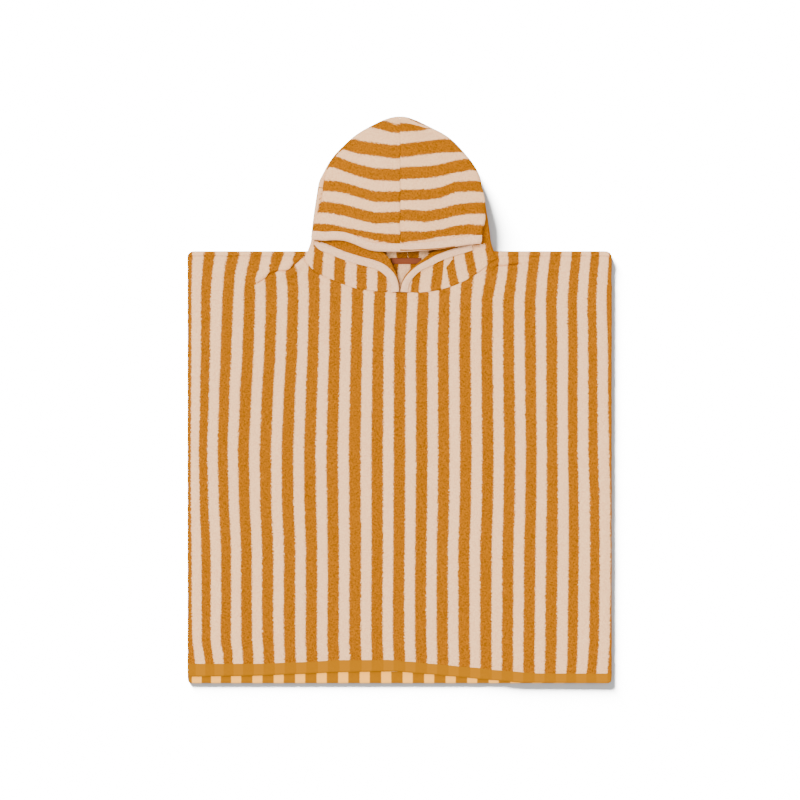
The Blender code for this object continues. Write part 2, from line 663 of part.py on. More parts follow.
def build_label(material):
    """Bare woven label, sewn in at the nape and lying on the back panel's inner face."""
    columns, rows = 6, 3
    bm = bmesh.new()

    def place(column, row):
        share = row / rows
        x = LABEL_X[0] + (LABEL_X[1] - LABEL_X[0]) * column / columns
        lift = LABEL_CURL * (1 - share) ** 2
        return Vector((x, NAPE_Y - SEAM_GAP - LABEL_DEPTH * (1 - share), FRONT_REST + lift))
    add_grid(bm, columns, rows, place)
    return finish_wall("neck_label", bm, LABEL_CLOTH, material, 1)


# ---------------------------------------------------------------- assembly
for old in list(bpy.data.objects):
    bpy.data.objects.remove(old)
GARMENT = bpy.data.collections.new("hooded_bath_poncho")
bpy.context.scene.collection.children.link(GARMENT)

striped_terry = cloth("striped_terry", (0.70, 0.27, 0.01), 0.95)
binding_terry = cloth("binding_terry", (0.72, 0.60, 0.50), 0.95)
label_weave = cloth("label_weave", (0.30, 0.07, 0.02), 0.7)

build_back(striped_terry)
build_front(striped_terry)
hood_left = HoodHalf("left")
hood_right = HoodHalf("right")
hood_left.build(striped_terry)
hood_right.build(striped_terry)

for half in (hood_left, hood_right):
    lip_columns = range(PLEAT_COLUMN + 1, LIP_COLUMNS + 1)
    build_binding("lip_binding_" + half.side, [lip_path(half, column) for column in lip_columns],
                  binding_terry, half.side == "left")
brim = [brim_path(hood_left, column) for column in range(TOP_START - 1, HOOD_COLUMNS + 1)]
brim += [brim_path(hood_right, column) for column in range(HOOD_COLUMNS - 1, TOP_START - 2, -1)]
build_binding("brim_binding", brim, binding_terry, False)
build_label(label_weave)
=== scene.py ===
"""Child's hooded terry bath poncho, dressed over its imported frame.

Metres, +Z up, the garment face up on the table. Every sewn piece of the frame is replaced by a
fine shell of the same form, with its stripes, pile, seams and small creases.
"""

import logging
import math
from collections.abc import Callable, Sequence
from dataclasses import dataclass
from enum import Enum
from typing import NamedTuple

import bmesh
import bpy
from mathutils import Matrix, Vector, noise


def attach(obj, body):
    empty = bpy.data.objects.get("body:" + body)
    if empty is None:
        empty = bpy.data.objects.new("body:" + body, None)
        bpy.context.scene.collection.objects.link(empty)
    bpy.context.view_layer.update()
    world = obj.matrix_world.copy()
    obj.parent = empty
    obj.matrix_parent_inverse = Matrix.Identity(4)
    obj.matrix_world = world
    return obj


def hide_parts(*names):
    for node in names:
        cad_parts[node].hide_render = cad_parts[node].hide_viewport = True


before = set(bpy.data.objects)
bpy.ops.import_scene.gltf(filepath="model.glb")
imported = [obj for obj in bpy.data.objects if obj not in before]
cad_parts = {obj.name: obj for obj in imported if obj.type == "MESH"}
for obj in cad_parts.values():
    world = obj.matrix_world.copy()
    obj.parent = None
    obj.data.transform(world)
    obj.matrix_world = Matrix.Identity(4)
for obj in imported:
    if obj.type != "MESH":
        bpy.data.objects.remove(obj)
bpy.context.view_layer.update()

log = logging.getLogger("hooded_bath_poncho")

MM = 0.001
TINY = 1e-9

# ---------------------------------------------------------------- driving sizes
BODY_WIDTH = 600.0 * MM
GARMENT_LENGTH = 802.0 * MM
SHOULDER_Y = 210.5 * MM
TERRY = 3.0 * MM
HEM_CLOTH = 2.0 * MM
LABEL_CLOTH = 1.0 * MM
BINDING_CLOTH = 2.0 * MM
SEAM_GAP = 0.05 * MM
FOLD_RADIUS = 3.6 * MM
SHOULDER_SEAM_Y = 203.5 * MM
FRONT_REST = TERRY + SEAM_GAP
SIDE_HEM = 5.5 * MM
BACK_HEM_DEPTH = 16.5 * MM
HEM_CURL = 0.9 * MM                  # lift of the back's lower edge
HEM_STEP = 1.5 * MM                  # pile ends over this length
CORNER_PULL = 1.4 * MM
CORNER_SPAN = 3.0 * MM               # the hem's corners are rounded over this
SEAM_PRESS_SPAN = 2.2 * MM           # a seam presses the pile over this on each side
NECK_LEFT = -135.3 * MM
NECK_RIGHT = 137.6 * MM
NAPE_Y = 201.0 * MM
CENTRE_FRONT_Y = 152.3 * MM
NAPE_SEAM_X = 11.9 * MM
CROWN_X = 0.8 * MM
LABEL_X = (-11.6 * MM, 30.9 * MM)
LABEL_DEPTH = 8.7 * MM
LABEL_CURL = 0.8 * MM
LOWER_RADIUS = 5.0 * MM
UPPER_RADIUS = 4.8 * MM
PLEAT_GAP = 1.6 * MM
CROWN_RADIUS = 4.7 * MM
ROLL_DEPTH = 7.0 * MM
CROWN_DROP = 7.0 * MM
BRIM_BINDING_WIDTH = 8.4 * MM
SEAM_STRIP = 3.5 * MM
BINDING_REST = 0.4 * MM
BRIM_PEEP = (0.5 * MM, 78.0 * MM)    # run of the orange that shows through the brim's fold
LIP_TIP = (-6.5 * MM, 1.0 * MM)      # the left lip's binding runs on by this under the brim
LIP_TIP_SIZE = 0.35
BINDING_MARGIN = 1.2 * MM            # least cloth left between the binding and the neck seam
CENTRE_CROWDING = 1.35
LIP_CLEARANCE = 5.8 * MM
NECK_EDGE_TOP = 6.7 * MM
LIP_HOLLOW = 0.35                    # 1 for a straight climb from the neck seam to the lip
CROWN_START = 330.0 * MM             # the side roll turns into the crown's from here
CROWN_SPAN = 68.0 * MM
TOP_START_Y = 385.0 * MM             # the outline's outward direction turns up from here
TOP_SPAN = 14.0 * MM
MOUTH_TOP = 250.0 * MM               # the pleat opens below this, towards the face opening
MOUTH_SPAN = 28.0 * MM
MOUTH_GAP = 1.4 * MM
MOUTH_SWELL = 0.8 * MM
BULGE_FADE = 0.45                    # share of the rows that the foot's bulge fades over
EDGE_FALL = 20.0 * MM                # the front's ridges die out over this towards its sides
SHOULDER_RISE = 14.0 * MM            # the front climbs to the shoulder seam over this

NECK_COLUMNS = 14
FLAT_COLUMNS = 6
ARC_COLUMNS = 4
PLEAT_COLUMN = FLAT_COLUMNS + ARC_COLUMNS + 2
UPPER_ARC_START = PLEAT_COLUMN + 2
TOP_START = UPPER_ARC_START + ARC_COLUMNS
TOP_COLUMNS = 9
HOOD_COLUMNS = TOP_START + TOP_COLUMNS
HOOD_ROWS = 15
LIP_ROWS = 5
BULGE_END = FLAT_COLUMNS + ARC_COLUMNS
BRIM_ROWS = 4                        # rows that the brim's rise fades over
LIP_COLUMNS = BULGE_END + NECK_COLUMNS

STRIPE_PITCH = 30.81 * MM
STRIPE_WIDTH = 16.6 * MM
WAVE_RATIO = 3.2                     # a wave texture's bands are 1 / (this x its scale) apart


class Side(Enum):
    """Side of the garment as it lies, seen from above."""

    LEFT = -1
    RIGHT = 1

    @property
    def word(self) -> str:
        """Side as it stands in a node's name."""
        return self.name.lower()


class Face(Enum):
    """Which face of the cloth a finish is for."""

    RIGHT = "right"
    REVERSE = "reverse"


class Point(NamedTuple):
    """Plan point in millimetres."""

    x: float
    y: float


class Station(NamedTuple):
    """Point in millimetres."""

    x: float
    y: float
    z: float


class Ridge(NamedTuple):
    """Soft ridge of the front panel, in millimetres."""

    x0: float
    y0: float
    x1: float
    y1: float
    height: float
    spread: float


class SideRow(NamedTuple):
    """Pleat in the hood's side at a height up the hood, in millimetres."""

    y: float
    notch: float
    inset: float
    pleat: float


class CrestRow(NamedTuple):
    """Size at a height up the hood, in millimetres."""

    y: float
    height: float


class PullRow(NamedTuple):
    """How far each named stripe's middle is pulled off its even place, in millimetres."""

    y: float
    pulls: tuple[float, ...]


class HiddenPart(NamedTuple):
    """Part of a body stripe that is folded out of sight, in millimetres."""

    stripe: int
    y: float
    spread: float
    share: float


class StripeRow(NamedTuple):
    """Middles and widths of the orange stripes that cross a line, in millimetres."""

    at: float
    middles: tuple[float, ...]
    widths: tuple[float, ...]


FRONT_HEM = (Point(-300, -391.5), Point(-212, -390.4), Point(-141, -387.8), Point(-84, -385.1),
             Point(-7, -383.8), Point(42, -388.0), Point(71, -390.8), Point(132, -396.3),
             Point(170, -400.0), Point(300, -400.8))
PILE_END = (Point(-300, -373.1), Point(-200, -373.2), Point(-141, -371.0), Point(-79, -367.8),
            Point(-16, -367.7), Point(15, -370.1), Point(45, -373.2), Point(107, -378.7),
            Point(138, -382.4), Point(199, -387.0), Point(300, -387.1))
NECK_SEAM = {
    Side.LEFT: (Point(-128.5, 191.0), Point(-119.5, 181.5), Point(-97.7, 171.2),
                Point(-66.0, 158.8), Point(-33.4, 153.9), Point(-14.0, 152.7)),
    Side.RIGHT: (Point(131.0, 196.5), Point(110.3, 179.7), Point(86.5, 165.8),
                 Point(58.0, 156.0), Point(30.0, 152.0), Point(15.5, 152.3)),
}
HOOD_OUTLINE = {
    Side.LEFT: (Point(-126.0, 222.0), Point(-122.8, 251.3), Point(-118.4, 283.8),
                Point(-114.2, 310.0), Point(-107.0, 325.4), Point(-99.8, 339.2),
                Point(-85.4, 354.6), Point(-62.2, 374.6), Point(-39.4, 388.2),
                Point(-21.0, 396.8)),
    Side.RIGHT: (Point(129.6, 222.0), Point(125.6, 251.3), Point(122.4, 273.2),
                 Point(118.1, 301.6), Point(108.2, 327.0), Point(90.9, 350.0),
                 Point(69.3, 371.6), Point(43.1, 386.2), Point(22.0, 396.2)),
}
HOOD_SIDE = {
    Side.LEFT: (SideRow(222, 12, 1.0, 1.0), SideRow(243, 14, 2.0, 1.0), SideRow(254, 15, 3.6, 1.0),
                SideRow(262, 16, 6.2, 1.0), SideRow(272, 16, 8.4, 1.0), SideRow(283, 16, 8.6, 0.95),
                SideRow(304, 16, 9.0, 0.85), SideRow(325, 14, 6.0, 0.65), SideRow(342, 9, 2.0, 0.2),
                SideRow(375, 6, 0.0, 0.0), SideRow(401, 6, 0.0, 0.0)),
    Side.RIGHT: (SideRow(222, 28, 13.5, 1.0), SideRow(232, 26, 12, 1.0), SideRow(250, 22, 5.0, 1.0),
                 SideRow(280, 12, 0, 0.8), SideRow(315, 6, 0, 0), SideRow(401, 6, 0, 0)),
}
BRIM_RISE = {
    Side.LEFT: (Point(-124, 8.0), Point(-110, 8.5), Point(-98, 11.0), Point(-84, 13.0),
                Point(-70, 11.0), Point(-56, 6.0), Point(-42, 1.5), Point(-28, 0.3), Point(1, 0)),
    Side.RIGHT: (Point(1, 0), Point(36, 1.5), Point(57, 2.7), Point(85, 4.4), Point(100, 5.0),
                 Point(114, 4.0), Point(132, 3.0)),
}
HOOD_CREST = (CrestRow(212, 28), CrestRow(235, 32), CrestRow(265, 36), CrestRow(300, 36),
              CrestRow(335, 32), CrestRow(365, 24), CrestRow(388, 16), CrestRow(398, 9.4))
HOOD_BOW = (CrestRow(222, 10), CrestRow(265, 13), CrestRow(310, 13), CrestRow(353, 6),
            CrestRow(385, 1.5), CrestRow(401, 0))
LIP = {
    Side.LEFT: (Station(-113.0, 221.0, 12.0), Station(-100.0, 216.0, 13.0),
                Station(-85.8, 209.6, 14.2), Station(-71.7, 204.1, 15.0),
                Station(-57.2, 199.7, 16.0), Station(-43.1, 195.9, 16.5),
                Station(-29.2, 191.5, 16.5), Station(-20.0, 186.3, 16.0),
                Station(-12.5, 179.0, 14.8), Station(-8.0, 172.5, 13.4),
                Station(-5.2, 163.5, 11.0), Station(-4.2, 153.3, 8.8)),
    Side.RIGHT: (Station(104.0, 212.5, 12.0), Station(86.0, 209.4, 13.0),
                 Station(72.0, 207.5, 14.0), Station(58.4, 204.0, 14.8),
                 Station(45.5, 197.0, 15.5), Station(31.4, 189.4, 15.5),
                 Station(23.8, 184.2, 15.0), Station(17.2, 178.2, 14.2),
                 Station(10.6, 170.6, 12.6), Station(6.8, 163.2, 10.5), Station(4.7, 153.3, 8.8)),
}
# How far the hood's foot bulges out beside the shoulders.
NECK_BULGE = {Side.LEFT: 2.6 * MM, Side.RIGHT: 5.0 * MM}
# How far the turned shoulders reach in beside it.
SHOULDER_REACH = {Side.LEFT: 5.8 * MM, Side.RIGHT: 4.4 * MM}
# Face binding along the lips, by X: how far its inner leg reaches in, how wide its outer leg is.
LIP_REACH = {
    Side.LEFT: (Point(-113, 5), Point(-100, 13), Point(-85, 19), Point(-43, 19),
                Point(-29, 15.6), Point(-20, 10.5), Point(-12.5, 4.7), Point(-8, 2.5),
                Point(-4, 1.0)),
    Side.RIGHT: (Point(5, 1.0), Point(12, 2.4), Point(24, 3.0), Point(32, 4.0), Point(45, 6.5),
                 Point(58, 8.0), Point(86, 8.0), Point(104, 3.0)),
}
LIP_TILT = {Side.LEFT: math.radians(-7), Side.RIGHT: math.radians(25)}
LIP_WIDTH = {
    Side.LEFT: (Point(-113, 8.0), Point(-4, 8.0)),
    Side.RIGHT: (Point(5, 6.6), Point(12, 5.2), Point(20, 4.4), Point(32, 4.8), Point(45, 6.0),
                 Point(104, 6.6)),
}

RIDGES = (Ridge(-139, 197, -158, 181, 4.6, 9), Ridge(-158, 181, -200, 168, 3.2, 9),
          Ridge(-132, 196, -124, 186, 3.0, 9), Ridge(134, 200, 127, 192, 3.2, 9),
          Ridge(143, 192, 172, 188, 2.4, 8), Ridge(-235, 140, -228, -330, 1.4, 28),
          Ridge(-72, 120, -64, -350, 1.8, 32), Ridge(20, 60, 4, -372, 1.6, 26),
          Ridge(104, 130, 118, -330, 1.4, 26), Ridge(222, 150, 214, -300, 1.8, 30),
          Ridge(-150, -300, -20, -372, 1.5, 20), Ridge(-180, 60, -150, -120, 1.2, 22))

# Sharp creases pressed into the front panel beside its shoulder tucks: plan lines in mm.
CREASES = (
    (Point(-134, 202.4), Point(-141, 197.7), Point(-148.2, 191), Point(-155.2, 184.7),
     Point(-163, 182), Point(-169.4, 182.6), Point(-176.5, 180.9), Point(-183.6, 178.3),
     Point(-189.2, 172.7), Point(-200.6, 165.6)),
    (Point(138, 190.5), Point(146, 189.7), Point(158, 191.2), Point(171, 192.5)),
)
CREASE_DEPTH = 2.4 * MM
CREASE_WIDTH = 1.4 * MM

# Stripes of the front panel: which of them each pull row names, then the rows.
PULLED_STRIPES = (-1, 0, 1, 2, 3, 4, 6, 9, 12, 13, 14, 15, 17, 18, 19)
FRONT_PULLS = (
    PullRow(207, (7.6, 8.8, 12.7, 13.7, 13.4, 13.9, 4.0, 4.0, 4.0, 10.8, 7.6, 6.9, 4.8, -0.1,
                  -4.1)),
    PullRow(196, (7.6, 7.5, 10.2, 11.8, 11.0, 8.3, 4.0, 4.0, 4.0, 10.8, 7.4, 5.7, 3.7, -0.9,
                  -4.6)),
    PullRow(189, (7.6, 6.5, 8.8, 9.9, 9.3, 3.5, 4.0, 4.0, 4.0, 10.4, 6.9, 4.8, 2.9, -1.6, -5.0)),
    PullRow(183, (7.6, 5.8, 7.4, 8.8, 8.4, 1.0, 3.5, 4.0, 4.0, 9.8, 6.5, 4.0, 2.2, -2.2, -5.3)),
    PullRow(178, (7.6, 5.2, 7.0, 7.8, 4.2, 1.5, 3.0, 4.0, 4.0, 9.0, 5.8, 3.3, 1.4, -2.8, -5.7)),
    PullRow(170, (7.6, 4.5, 6.3, 5.6, 3.2, 2.8, 2.8, 4.0, 3.5, 7.5, 4.7, 2.6, 0.8, -3.3, -6.2)),
    PullRow(156, (7.6, 3.8, 5.6, 3.9, 4.2, 4.0, 2.5, 4.0, 2.6, 4.1, 2.9, 1.6, -0.2, -4.2, -7.0)),
    PullRow(141, (7.6, 3.3, 4.3, 4.0, 4.2, 4.2, 2.2, 3.9, 1.7, 1.3, 0.9, 0.5, -1.2, -5.0, -7.6)),
    PullRow(71, (7.6, 3.2, 1.6, 2.1, 2.3, 2.1, 1.2, 0.8, 0.7, 0.8, 0.9, 1.0, -0.5, -3.5, -5.2)),
    PullRow(0, (7.6, 1.7, -1.1, -1.8, -1.5, -1.4, -0.5, 0.8, 1.5, 1.6, 1.6, 1.7, -1.0, -3.3,
                -4.9)),
    PullRow(-71, (7.6, -0.6, -3.2, -4.7, -4.3, -3.8, -2.3, 0.8, 2.2, 2.3, 2.4, 2.5, -0.9, -3.0,
                  -2.9)),
    PullRow(-142, (7.6, 0.8, -1.3, -3.5, -4.0, -3.6, -1.3, 0.4, 1.6, 1.6, 1.6, 1.6, 0.4, -0.8,
                   -1.9)),
    PullRow(-213, (7.6, 4.2, 1.9, -0.4, -1.1, -0.8, -0.4, 0.1, -0.8, -0.5, -0.2, 0.1, 0.7, -0.4,
                   -1.4)),
    PullRow(-283, (7.6, 4.6, 2.0, -0.6, -1.3, -0.9, -0.5, -0.7, -0.5, -0.5, -0.4, -0.4, -0.5, -0.8,
                   -1.4)),
    PullRow(-340, (9.0, 4.2, 1.3, 0.0, -0.4, -1.0, -0.9, -0.5, -0.6, -0.7, -0.8, -0.9, -0.8, -1.6,
                   -2.6)),
    PullRow(-361, (11.8, 7.4, 4.2, 1.9, 0.6, -0.1, -0.1, 0.6, 0.1, -0.3, -0.8, -1.2, -1.2, -3.0,
                   -3.6)),
    PullRow(-373, (13.0, 9.8, 5.0, 2.4, 1.0, 0.3, -0.1, 0.6, 0.1, -0.3, -0.8, -1.2, -1.7, -4.2,
                   -4.2)),
    PullRow(-387, (13.0, 9.8, 5.0, 2.4, 1.0, 0.3, -0.1, 0.6, 0.1, -0.3, -0.8, -1.2, -2.6, -5.8,
                   -4.5)),
)
BACK_PULLS = (
    PullRow(207, (7.6, 8.8, 12.7, 13.7, 13.4, 14.2, 9.0, 9.0, 7.0, 10.0, 7.2, 6.9, 4.8, -0.1,
                  -4.1)),
    PullRow(120, (2.0, 2.0, 2.0, 1.0, 1.0, 0.0, 0.0, 0.0, 0.0, 0.0, 0.0, 0.0, -1.0, -3.0, -4.0)),
    PullRow(-361, (7.3, 4.5, 1.1, 0.0, -0.6, -1.2, -1.9, -3.0, -4.2, -4.5, -4.8, -5.0, -5.0, -5.0,
                   -5.0)),
)
# Where a crease hides part of a stripe of the front: its number, Y, spread and share hidden.
HIDDEN_PARTS = (HiddenPart(4, 192.0, 7.0, 0.53), HiddenPart(3, 181.0, 4.0, 0.22))
EDGE_STRIPE_WIDTHS = {0: 15.0 * MM, 1: 16.0 * MM, 17: 15.2 * MM, 18: 14.6 * MM}

# Stripes in the hood's layer on the table, by distance from the nape seam.
NAPE_STRIPES = StripeRow(0, (8.1, 38.2, 69.4, 100.6, 131.0, 160.1), (16, 17, 17, 17, 16, 15))
# Stripes of the hood below the face opening, outermost first, at heights up the hood.
THROAT_STRIPES = {
    Side.LEFT: (StripeRow(180, (-147, -116.4, -85.1, -53.6, -24.6), (16, 14.2, 16.3, 14.8, 14)),
                StripeRow(215, (-144, -113.8, -82.7, -51.4, -22.6), (16, 14.2, 16.3, 14.8, 13))),
    Side.RIGHT: (StripeRow(160, (131.6, 107.1, 78.5, 51.3, 21.8), (16, 13.3, 14.2, 15.4, 12)),
                 StripeRow(177, (131.6, 103.7, 74.6, 53.7, 24.5), (16, 13.3, 13.5, 15.4, 11)),
                 StripeRow(187, (131.6, 101.6, 72.5, 54.4, 26.0), (16, 13.3, 13.6, 15.4, 10)),
                 StripeRow(200, (131.6, 98.9, 76.3, 55.4, 27.5), (16, 13.3, 2.0, 15.4, 9)),
                 StripeRow(212, (129.0, 96.5, 76.3, 56.5, 29.0), (16, 13.3, 0.0, 15.4, 9))),
}
THROAT_FIRST = {Side.LEFT: 5, Side.RIGHT: 4}         # number of the outermost of them
CREAM_SIDE_Y = 300.0 * MM                            # the left side shows cream above this
FOLD_LINE = (326.0 * MM, 356.0 * MM)                 # run of the orange line along the left fold
# Bands over the hood, crown first: middles at distances out from the centre seam, as an eye
# straight above the body's middle sees them.
EYE_HEIGHT = 4.72
BAND_SHIFT = 0.9 * MM
CROWN_BAND_WIDTHS = (19.4, 17.7, 15.6, 16.6)
CROWN_BANDS = {
    Side.LEFT: tuple(StripeRow(at, middles, (first, *CROWN_BAND_WIDTHS, last))
                     for at, middles, first, last in (
        (5, (385.1, 352.3, 319.5, 288.8, 259.6, 228.6), 12.5, 14.5),
        (14, (387.3, 353.2, 319.8, 288.8, 259.3, 229.5), 14.6, 13.6),
        (35, (392.9, 355.8, 320.7, 288.9, 258.5, 232.1), 14.3, 11.1),
        (56, (399.3, 358.6, 325.6, 294.6, 263.6, 236.9), 14.3, 9.5),
        (77, (404.9, 364.6, 332.6, 301.3, 269.5, 241.3), 14.3, 8.1),
        (92, (407.8, 369.5, 338.4, 303.8, 272.4, 244.0), 14.3, 10.0),
        (106, (409.2, 372.4, 339.8, 304.5, 274.1, 244.5), 14.3, 12.6))),
    Side.RIGHT: tuple(StripeRow(at, middles, (*first, *CROWN_BAND_WIDTHS, last))
                      for at, middles, first, last in (
        (6, (412.0, 386.9, 354.5, 322.2, 291.2, 262.9, 232.2), (12.0, 12.7), 16.6),
        (15, (404.3, 386.5, 355.6, 322.6, 291.3, 262.3, 232.6), (12.0, 11.3), 15.2),
        (29, (397.6, 385.4, 357.3, 323.1, 291.5, 261.3, 233.2), (12.0, 6.4), 12.9),
        (36, (394.5, 384.6, 358.1, 323.4, 291.6, 260.8, 233.5), (12.0, 3.0), 11.8),
        (43, (397.0, 386.0, 359.0, 324.2, 292.4, 261.8, 234.7), (8.0, 0.2), 11.5),
        (57, (399.0, 389.0, 360.5, 326.1, 294.3, 263.9, 237.2), (6.0, 0.2), 10.8),
        (79, (402.1, 390.0, 361.0, 331.6, 302.8, 269.8, 240.9), (6.0, 0.2), 14.4),
        (100, (404.9, 392.0, 363.9, 334.8, 303.8, 272.5, 242.7), (6.0, 0.2), 14.6),
        (114, (406.4, 394.0, 365.3, 335.5, 303.0, 272.8, 240.5), (6.0, 0.2), 16.6))),
}


# ---------------------------------------------------------------- curves and tables
def smooth_step(value: float) -> float:
    """0 to 1 with level ends."""
    value = min(max(value, 0.0), 1.0)
    return value * value * (3.0 - 2.0 * value)


def bell(distance: float, width: float) -> float:
    """1 at no distance, fading over a width."""
    return math.exp(-(distance / width) ** 2)


def look_up(rows: Sequence[NamedTuple], key: str, column: str, at: float) -> float:
    """Value of a table's column, smoothly between its rows.

    Args:
        rows: Table in millimetres, its keys rising.
        key: Column that is looked in.
        column: Column that is read.
        at: Key in metres.

    Returns:
        The value in metres.
    """
    at = at / MM
    keys = [getattr(row, key) for row in rows]
    values = [getattr(row, column) for row in rows]
    if at <= keys[0]:
        return values[0] * MM
    if at >= keys[-1]:
        return values[-1] * MM
    k = next(index for index in range(len(keys) - 1) if keys[index + 1] >= at)
    linear = (at - keys[k]) / (keys[k + 1] - keys[k])
    share = 0.5 * (smooth_step(linear) + linear)
    return (values[k] + (values[k + 1] - values[k]) * share) * MM


def trace(rows: Sequence[NamedTuple], count: int, crowding: float = 1.0) -> list[Vector]:
    """Points along the smooth curve through a table's rows.

    Args:
        rows: Table in millimetres.
        count: Number of steps.
        crowding: Above 1, the points draw closer towards the end.

    Returns:
        count + 1 points in metres.
    """
    marks = [Vector([value * MM for value in row]) for row in rows]
    ends = [2 * marks[0] - marks[1]] + marks + [2 * marks[-1] - marks[-2]]
    fine = []
    for k in range(len(marks) - 1):
        p0, p1, p2, p3 = ends[k:k + 4]
        for step in range(24):
            t = step / 24
            fine.append(0.5 * (2 * p1 + (p2 - p0) * t + (2 * p0 - 5 * p1 + 4 * p2 - p3) * t * t
                               + (3 * p1 - p0 - 3 * p2 + p3) * t ** 3))
    fine.append(marks[-1])
    lengths = [0.0]
    for a, b in zip(fine, fine[1:]):
        lengths.append(lengths[-1] + (b - a).length)
    points = []
    k = 0
    for n in range(count + 1):
        goal = lengths[-1] * (1 - (1 - n / count) ** crowding)
        while k < len(fine) - 2 and lengths[k + 1] < goal:
            k += 1
        t = (goal - lengths[k]) / (lengths[k + 1] - lengths[k])
        points.append(fine[k].lerp(fine[k + 1], min(t, 1.0)))
    return points


def slope(before: Vector, here: Vector, after: Vector) -> Vector:
    """Direction of a line at a point, per metre, from its neighbours.

    Args:
        before: Neighbour before the point.
        here: The point.
        after: Neighbour after it.

    Returns:
        The direction, its length the line's pace.
    """
    back = here - before
    ahead = after - here
    if back.length < TINY:
        return ahead / max(ahead.length, TINY)
    if ahead.length < TINY:
        return back / back.length
    weighted = back * (ahead.length / back.length) + ahead * (back.length / ahead.length)
    return weighted / (back.length + ahead.length)


def spline(points: Sequence[Vector], steps: Sequence[int], before: Vector | None = None,
           after: Vector | None = None) -> list[Vector]:
    """Smooth line through points.

    Args:
        points: Points that it runs through.
        steps: Steps in each stretch between two points.
        before: Neighbour of the first point, if the cloth runs on there.
        after: Neighbour of the last point, if the cloth runs on there.

    Returns:
        Every step's point.
    """
    chain = [points[0] if before is None else before, *points,
             points[-1] if after is None else after]
    slopes = [slope(*chain[k:k + 3]) for k in range(len(points))]
    line = []
    for k, count in enumerate(steps):
        a, b = points[k], points[k + 1]
        reach = (b - a).length
        for step in range(count):
            t = step / count
            line.append(a * (2 * t ** 3 - 3 * t ** 2 + 1) + b * (3 * t ** 2 - 2 * t ** 3)
                        + slopes[k] * reach * (t ** 3 - 2 * t ** 2 + t)
                        + slopes[k + 1] * reach * (t ** 3 - t ** 2))
    return line + [points[-1]]


def fine_marks(steps: Sequence[int]) -> list[float]:
    """Coarse index of every fine step."""
    marks = [k + step / count for k, count in enumerate(steps) for step in range(count)]
    return marks + [float(len(steps))]


def steps_for(grid: Sequence[Sequence[Vector]], cell: float) -> list[int]:
    """Steps in each stretch of a grid's lines, so that no cell is longer than asked.

    Args:
        grid: Lines of points.
        cell: Longest cell.

    Returns:
        A count for every stretch.
    """
    counts = []
    for k in range(len(grid[0]) - 1):
        longest = max((line[k + 1] - line[k]).length for line in grid)
        counts.append(max(1, math.ceil(longest / cell)))
    return counts


def crossed(grid: Sequence[Sequence[Vector]]) -> list[list[Vector]]:
    """The grid with its rows and columns swapped."""
    return [list(line) for line in zip(*grid)]


# ---------------------------------------------------------------- stripes
class Dye(NamedTuple):
    """Where a point of the cloth is in the stripes.

    stripe is a whole number at each orange stripe's middle, share the orange's part of a repeat.
    """

    stripe: float
    share: float


def between_marks(at: float, middles: Sequence[float], widths: Sequence[float],
                  first: int = 0) -> Dye:
    """Place among stripes from their middles.

    Args:
        at: Place across the stripes.
        middles: Middles of the orange stripes, rising or falling, in the same unit.
        widths: Their widths.
        first: Number of the first stripe.

    Returns:
        The stripe's number and the orange's share there.
    """
    k = 0
    turn = 1 if middles[-1] > middles[0] else -1
    while k < len(middles) - 2 and (at - middles[k + 1]) * turn > 0:
        k += 1
    spacing = abs(middles[k + 1] - middles[k])
    t = (at - middles[k]) / (middles[k + 1] - middles[k])
    width = widths[k] if t < 0.5 else widths[k + 1]
    return Dye(first + k + t, width / spacing)


def stripe_row(rows: Sequence[StripeRow], at: float) -> StripeRow:
    """The stripes that cross a line between a table's rows.

    Args:
        rows: Table, its places rising.
        at: Place in millimetres.

    Returns:
        The stripes there, in millimetres.
    """
    if at <= rows[0].at:
        return rows[0]
    for low, high in zip(rows, rows[1:]):
        if at <= high.at:
            t = (at - low.at) / (high.at - low.at)
            middles = tuple(a + (b - a) * t for a, b in zip(low.middles, high.middles))
            widths = tuple(a + (b - a) * t for a, b in zip(low.widths, high.widths))
            return StripeRow(at, middles, widths)
    return rows[-1]


@dataclass(frozen=True)
class BodyStripes:
    """Stripes down a body panel, each pulled a little off its even place.

    Args:
        pulls: Rows from the shoulder down.
        hidden: Parts of stripes that are folded out of sight.
        first_x: Middle of stripe 0 where nothing pulls it.
    """

    pulls: tuple[PullRow, ...]
    hidden: tuple[HiddenPart, ...] = ()
    first_x: float = -278.0 * MM

    def pull(self, number: float, y: float) -> float:
        """How far a stripe is off its even place at a height up the panel.

        Args:
            number: Number of the stripe, or between two.
            y: Height up the garment.

        Returns:
            The pull to the right.
        """
        k = 0
        while k < len(PULLED_STRIPES) - 2 and number > PULLED_STRIPES[k + 1]:
            k += 1
        low, high = PULLED_STRIPES[k:k + 2]
        t = min(max((number - low) / (high - low), 0.0), 1.0)
        level = y / MM
        if level >= self.pulls[0].y:
            above = below = self.pulls[0]
            share = 0.0
        elif level <= self.pulls[-1].y:
            above = below = self.pulls[-1]
            share = 0.0
        else:
            above, below = next((a, b) for a, b in zip(self.pulls, self.pulls[1:])
                                if b.y <= level)
            linear = (above.y - level) / (above.y - below.y)
            share = 0.5 * (linear + smooth_step(linear))
        values = [row.pulls[k] + (row.pulls[k + 1] - row.pulls[k]) * t for row in (above, below)]
        return (values[0] + (values[1] - values[0]) * share) * MM

    def dye(self, x: float, y: float) -> Dye:
        """Place of a point among the stripes.

        Args:
            x: Distance right of the body's middle.
            y: Height up the garment.

        Returns:
            The point's dye.
        """
        number = (x - self.first_x) / STRIPE_PITCH
        for _ in range(3):
            number = (x - self.pull(number, y) - self.first_x) / STRIPE_PITCH
        width = EDGE_STRIPE_WIDTHS.get(round(number), STRIPE_WIDTH)
        for part in self.hidden:
            if round(number) == part.stripe:
                width *= 1 - part.share * bell(y - part.y * MM, part.spread * MM)
        return Dye(number, width / STRIPE_PITCH)


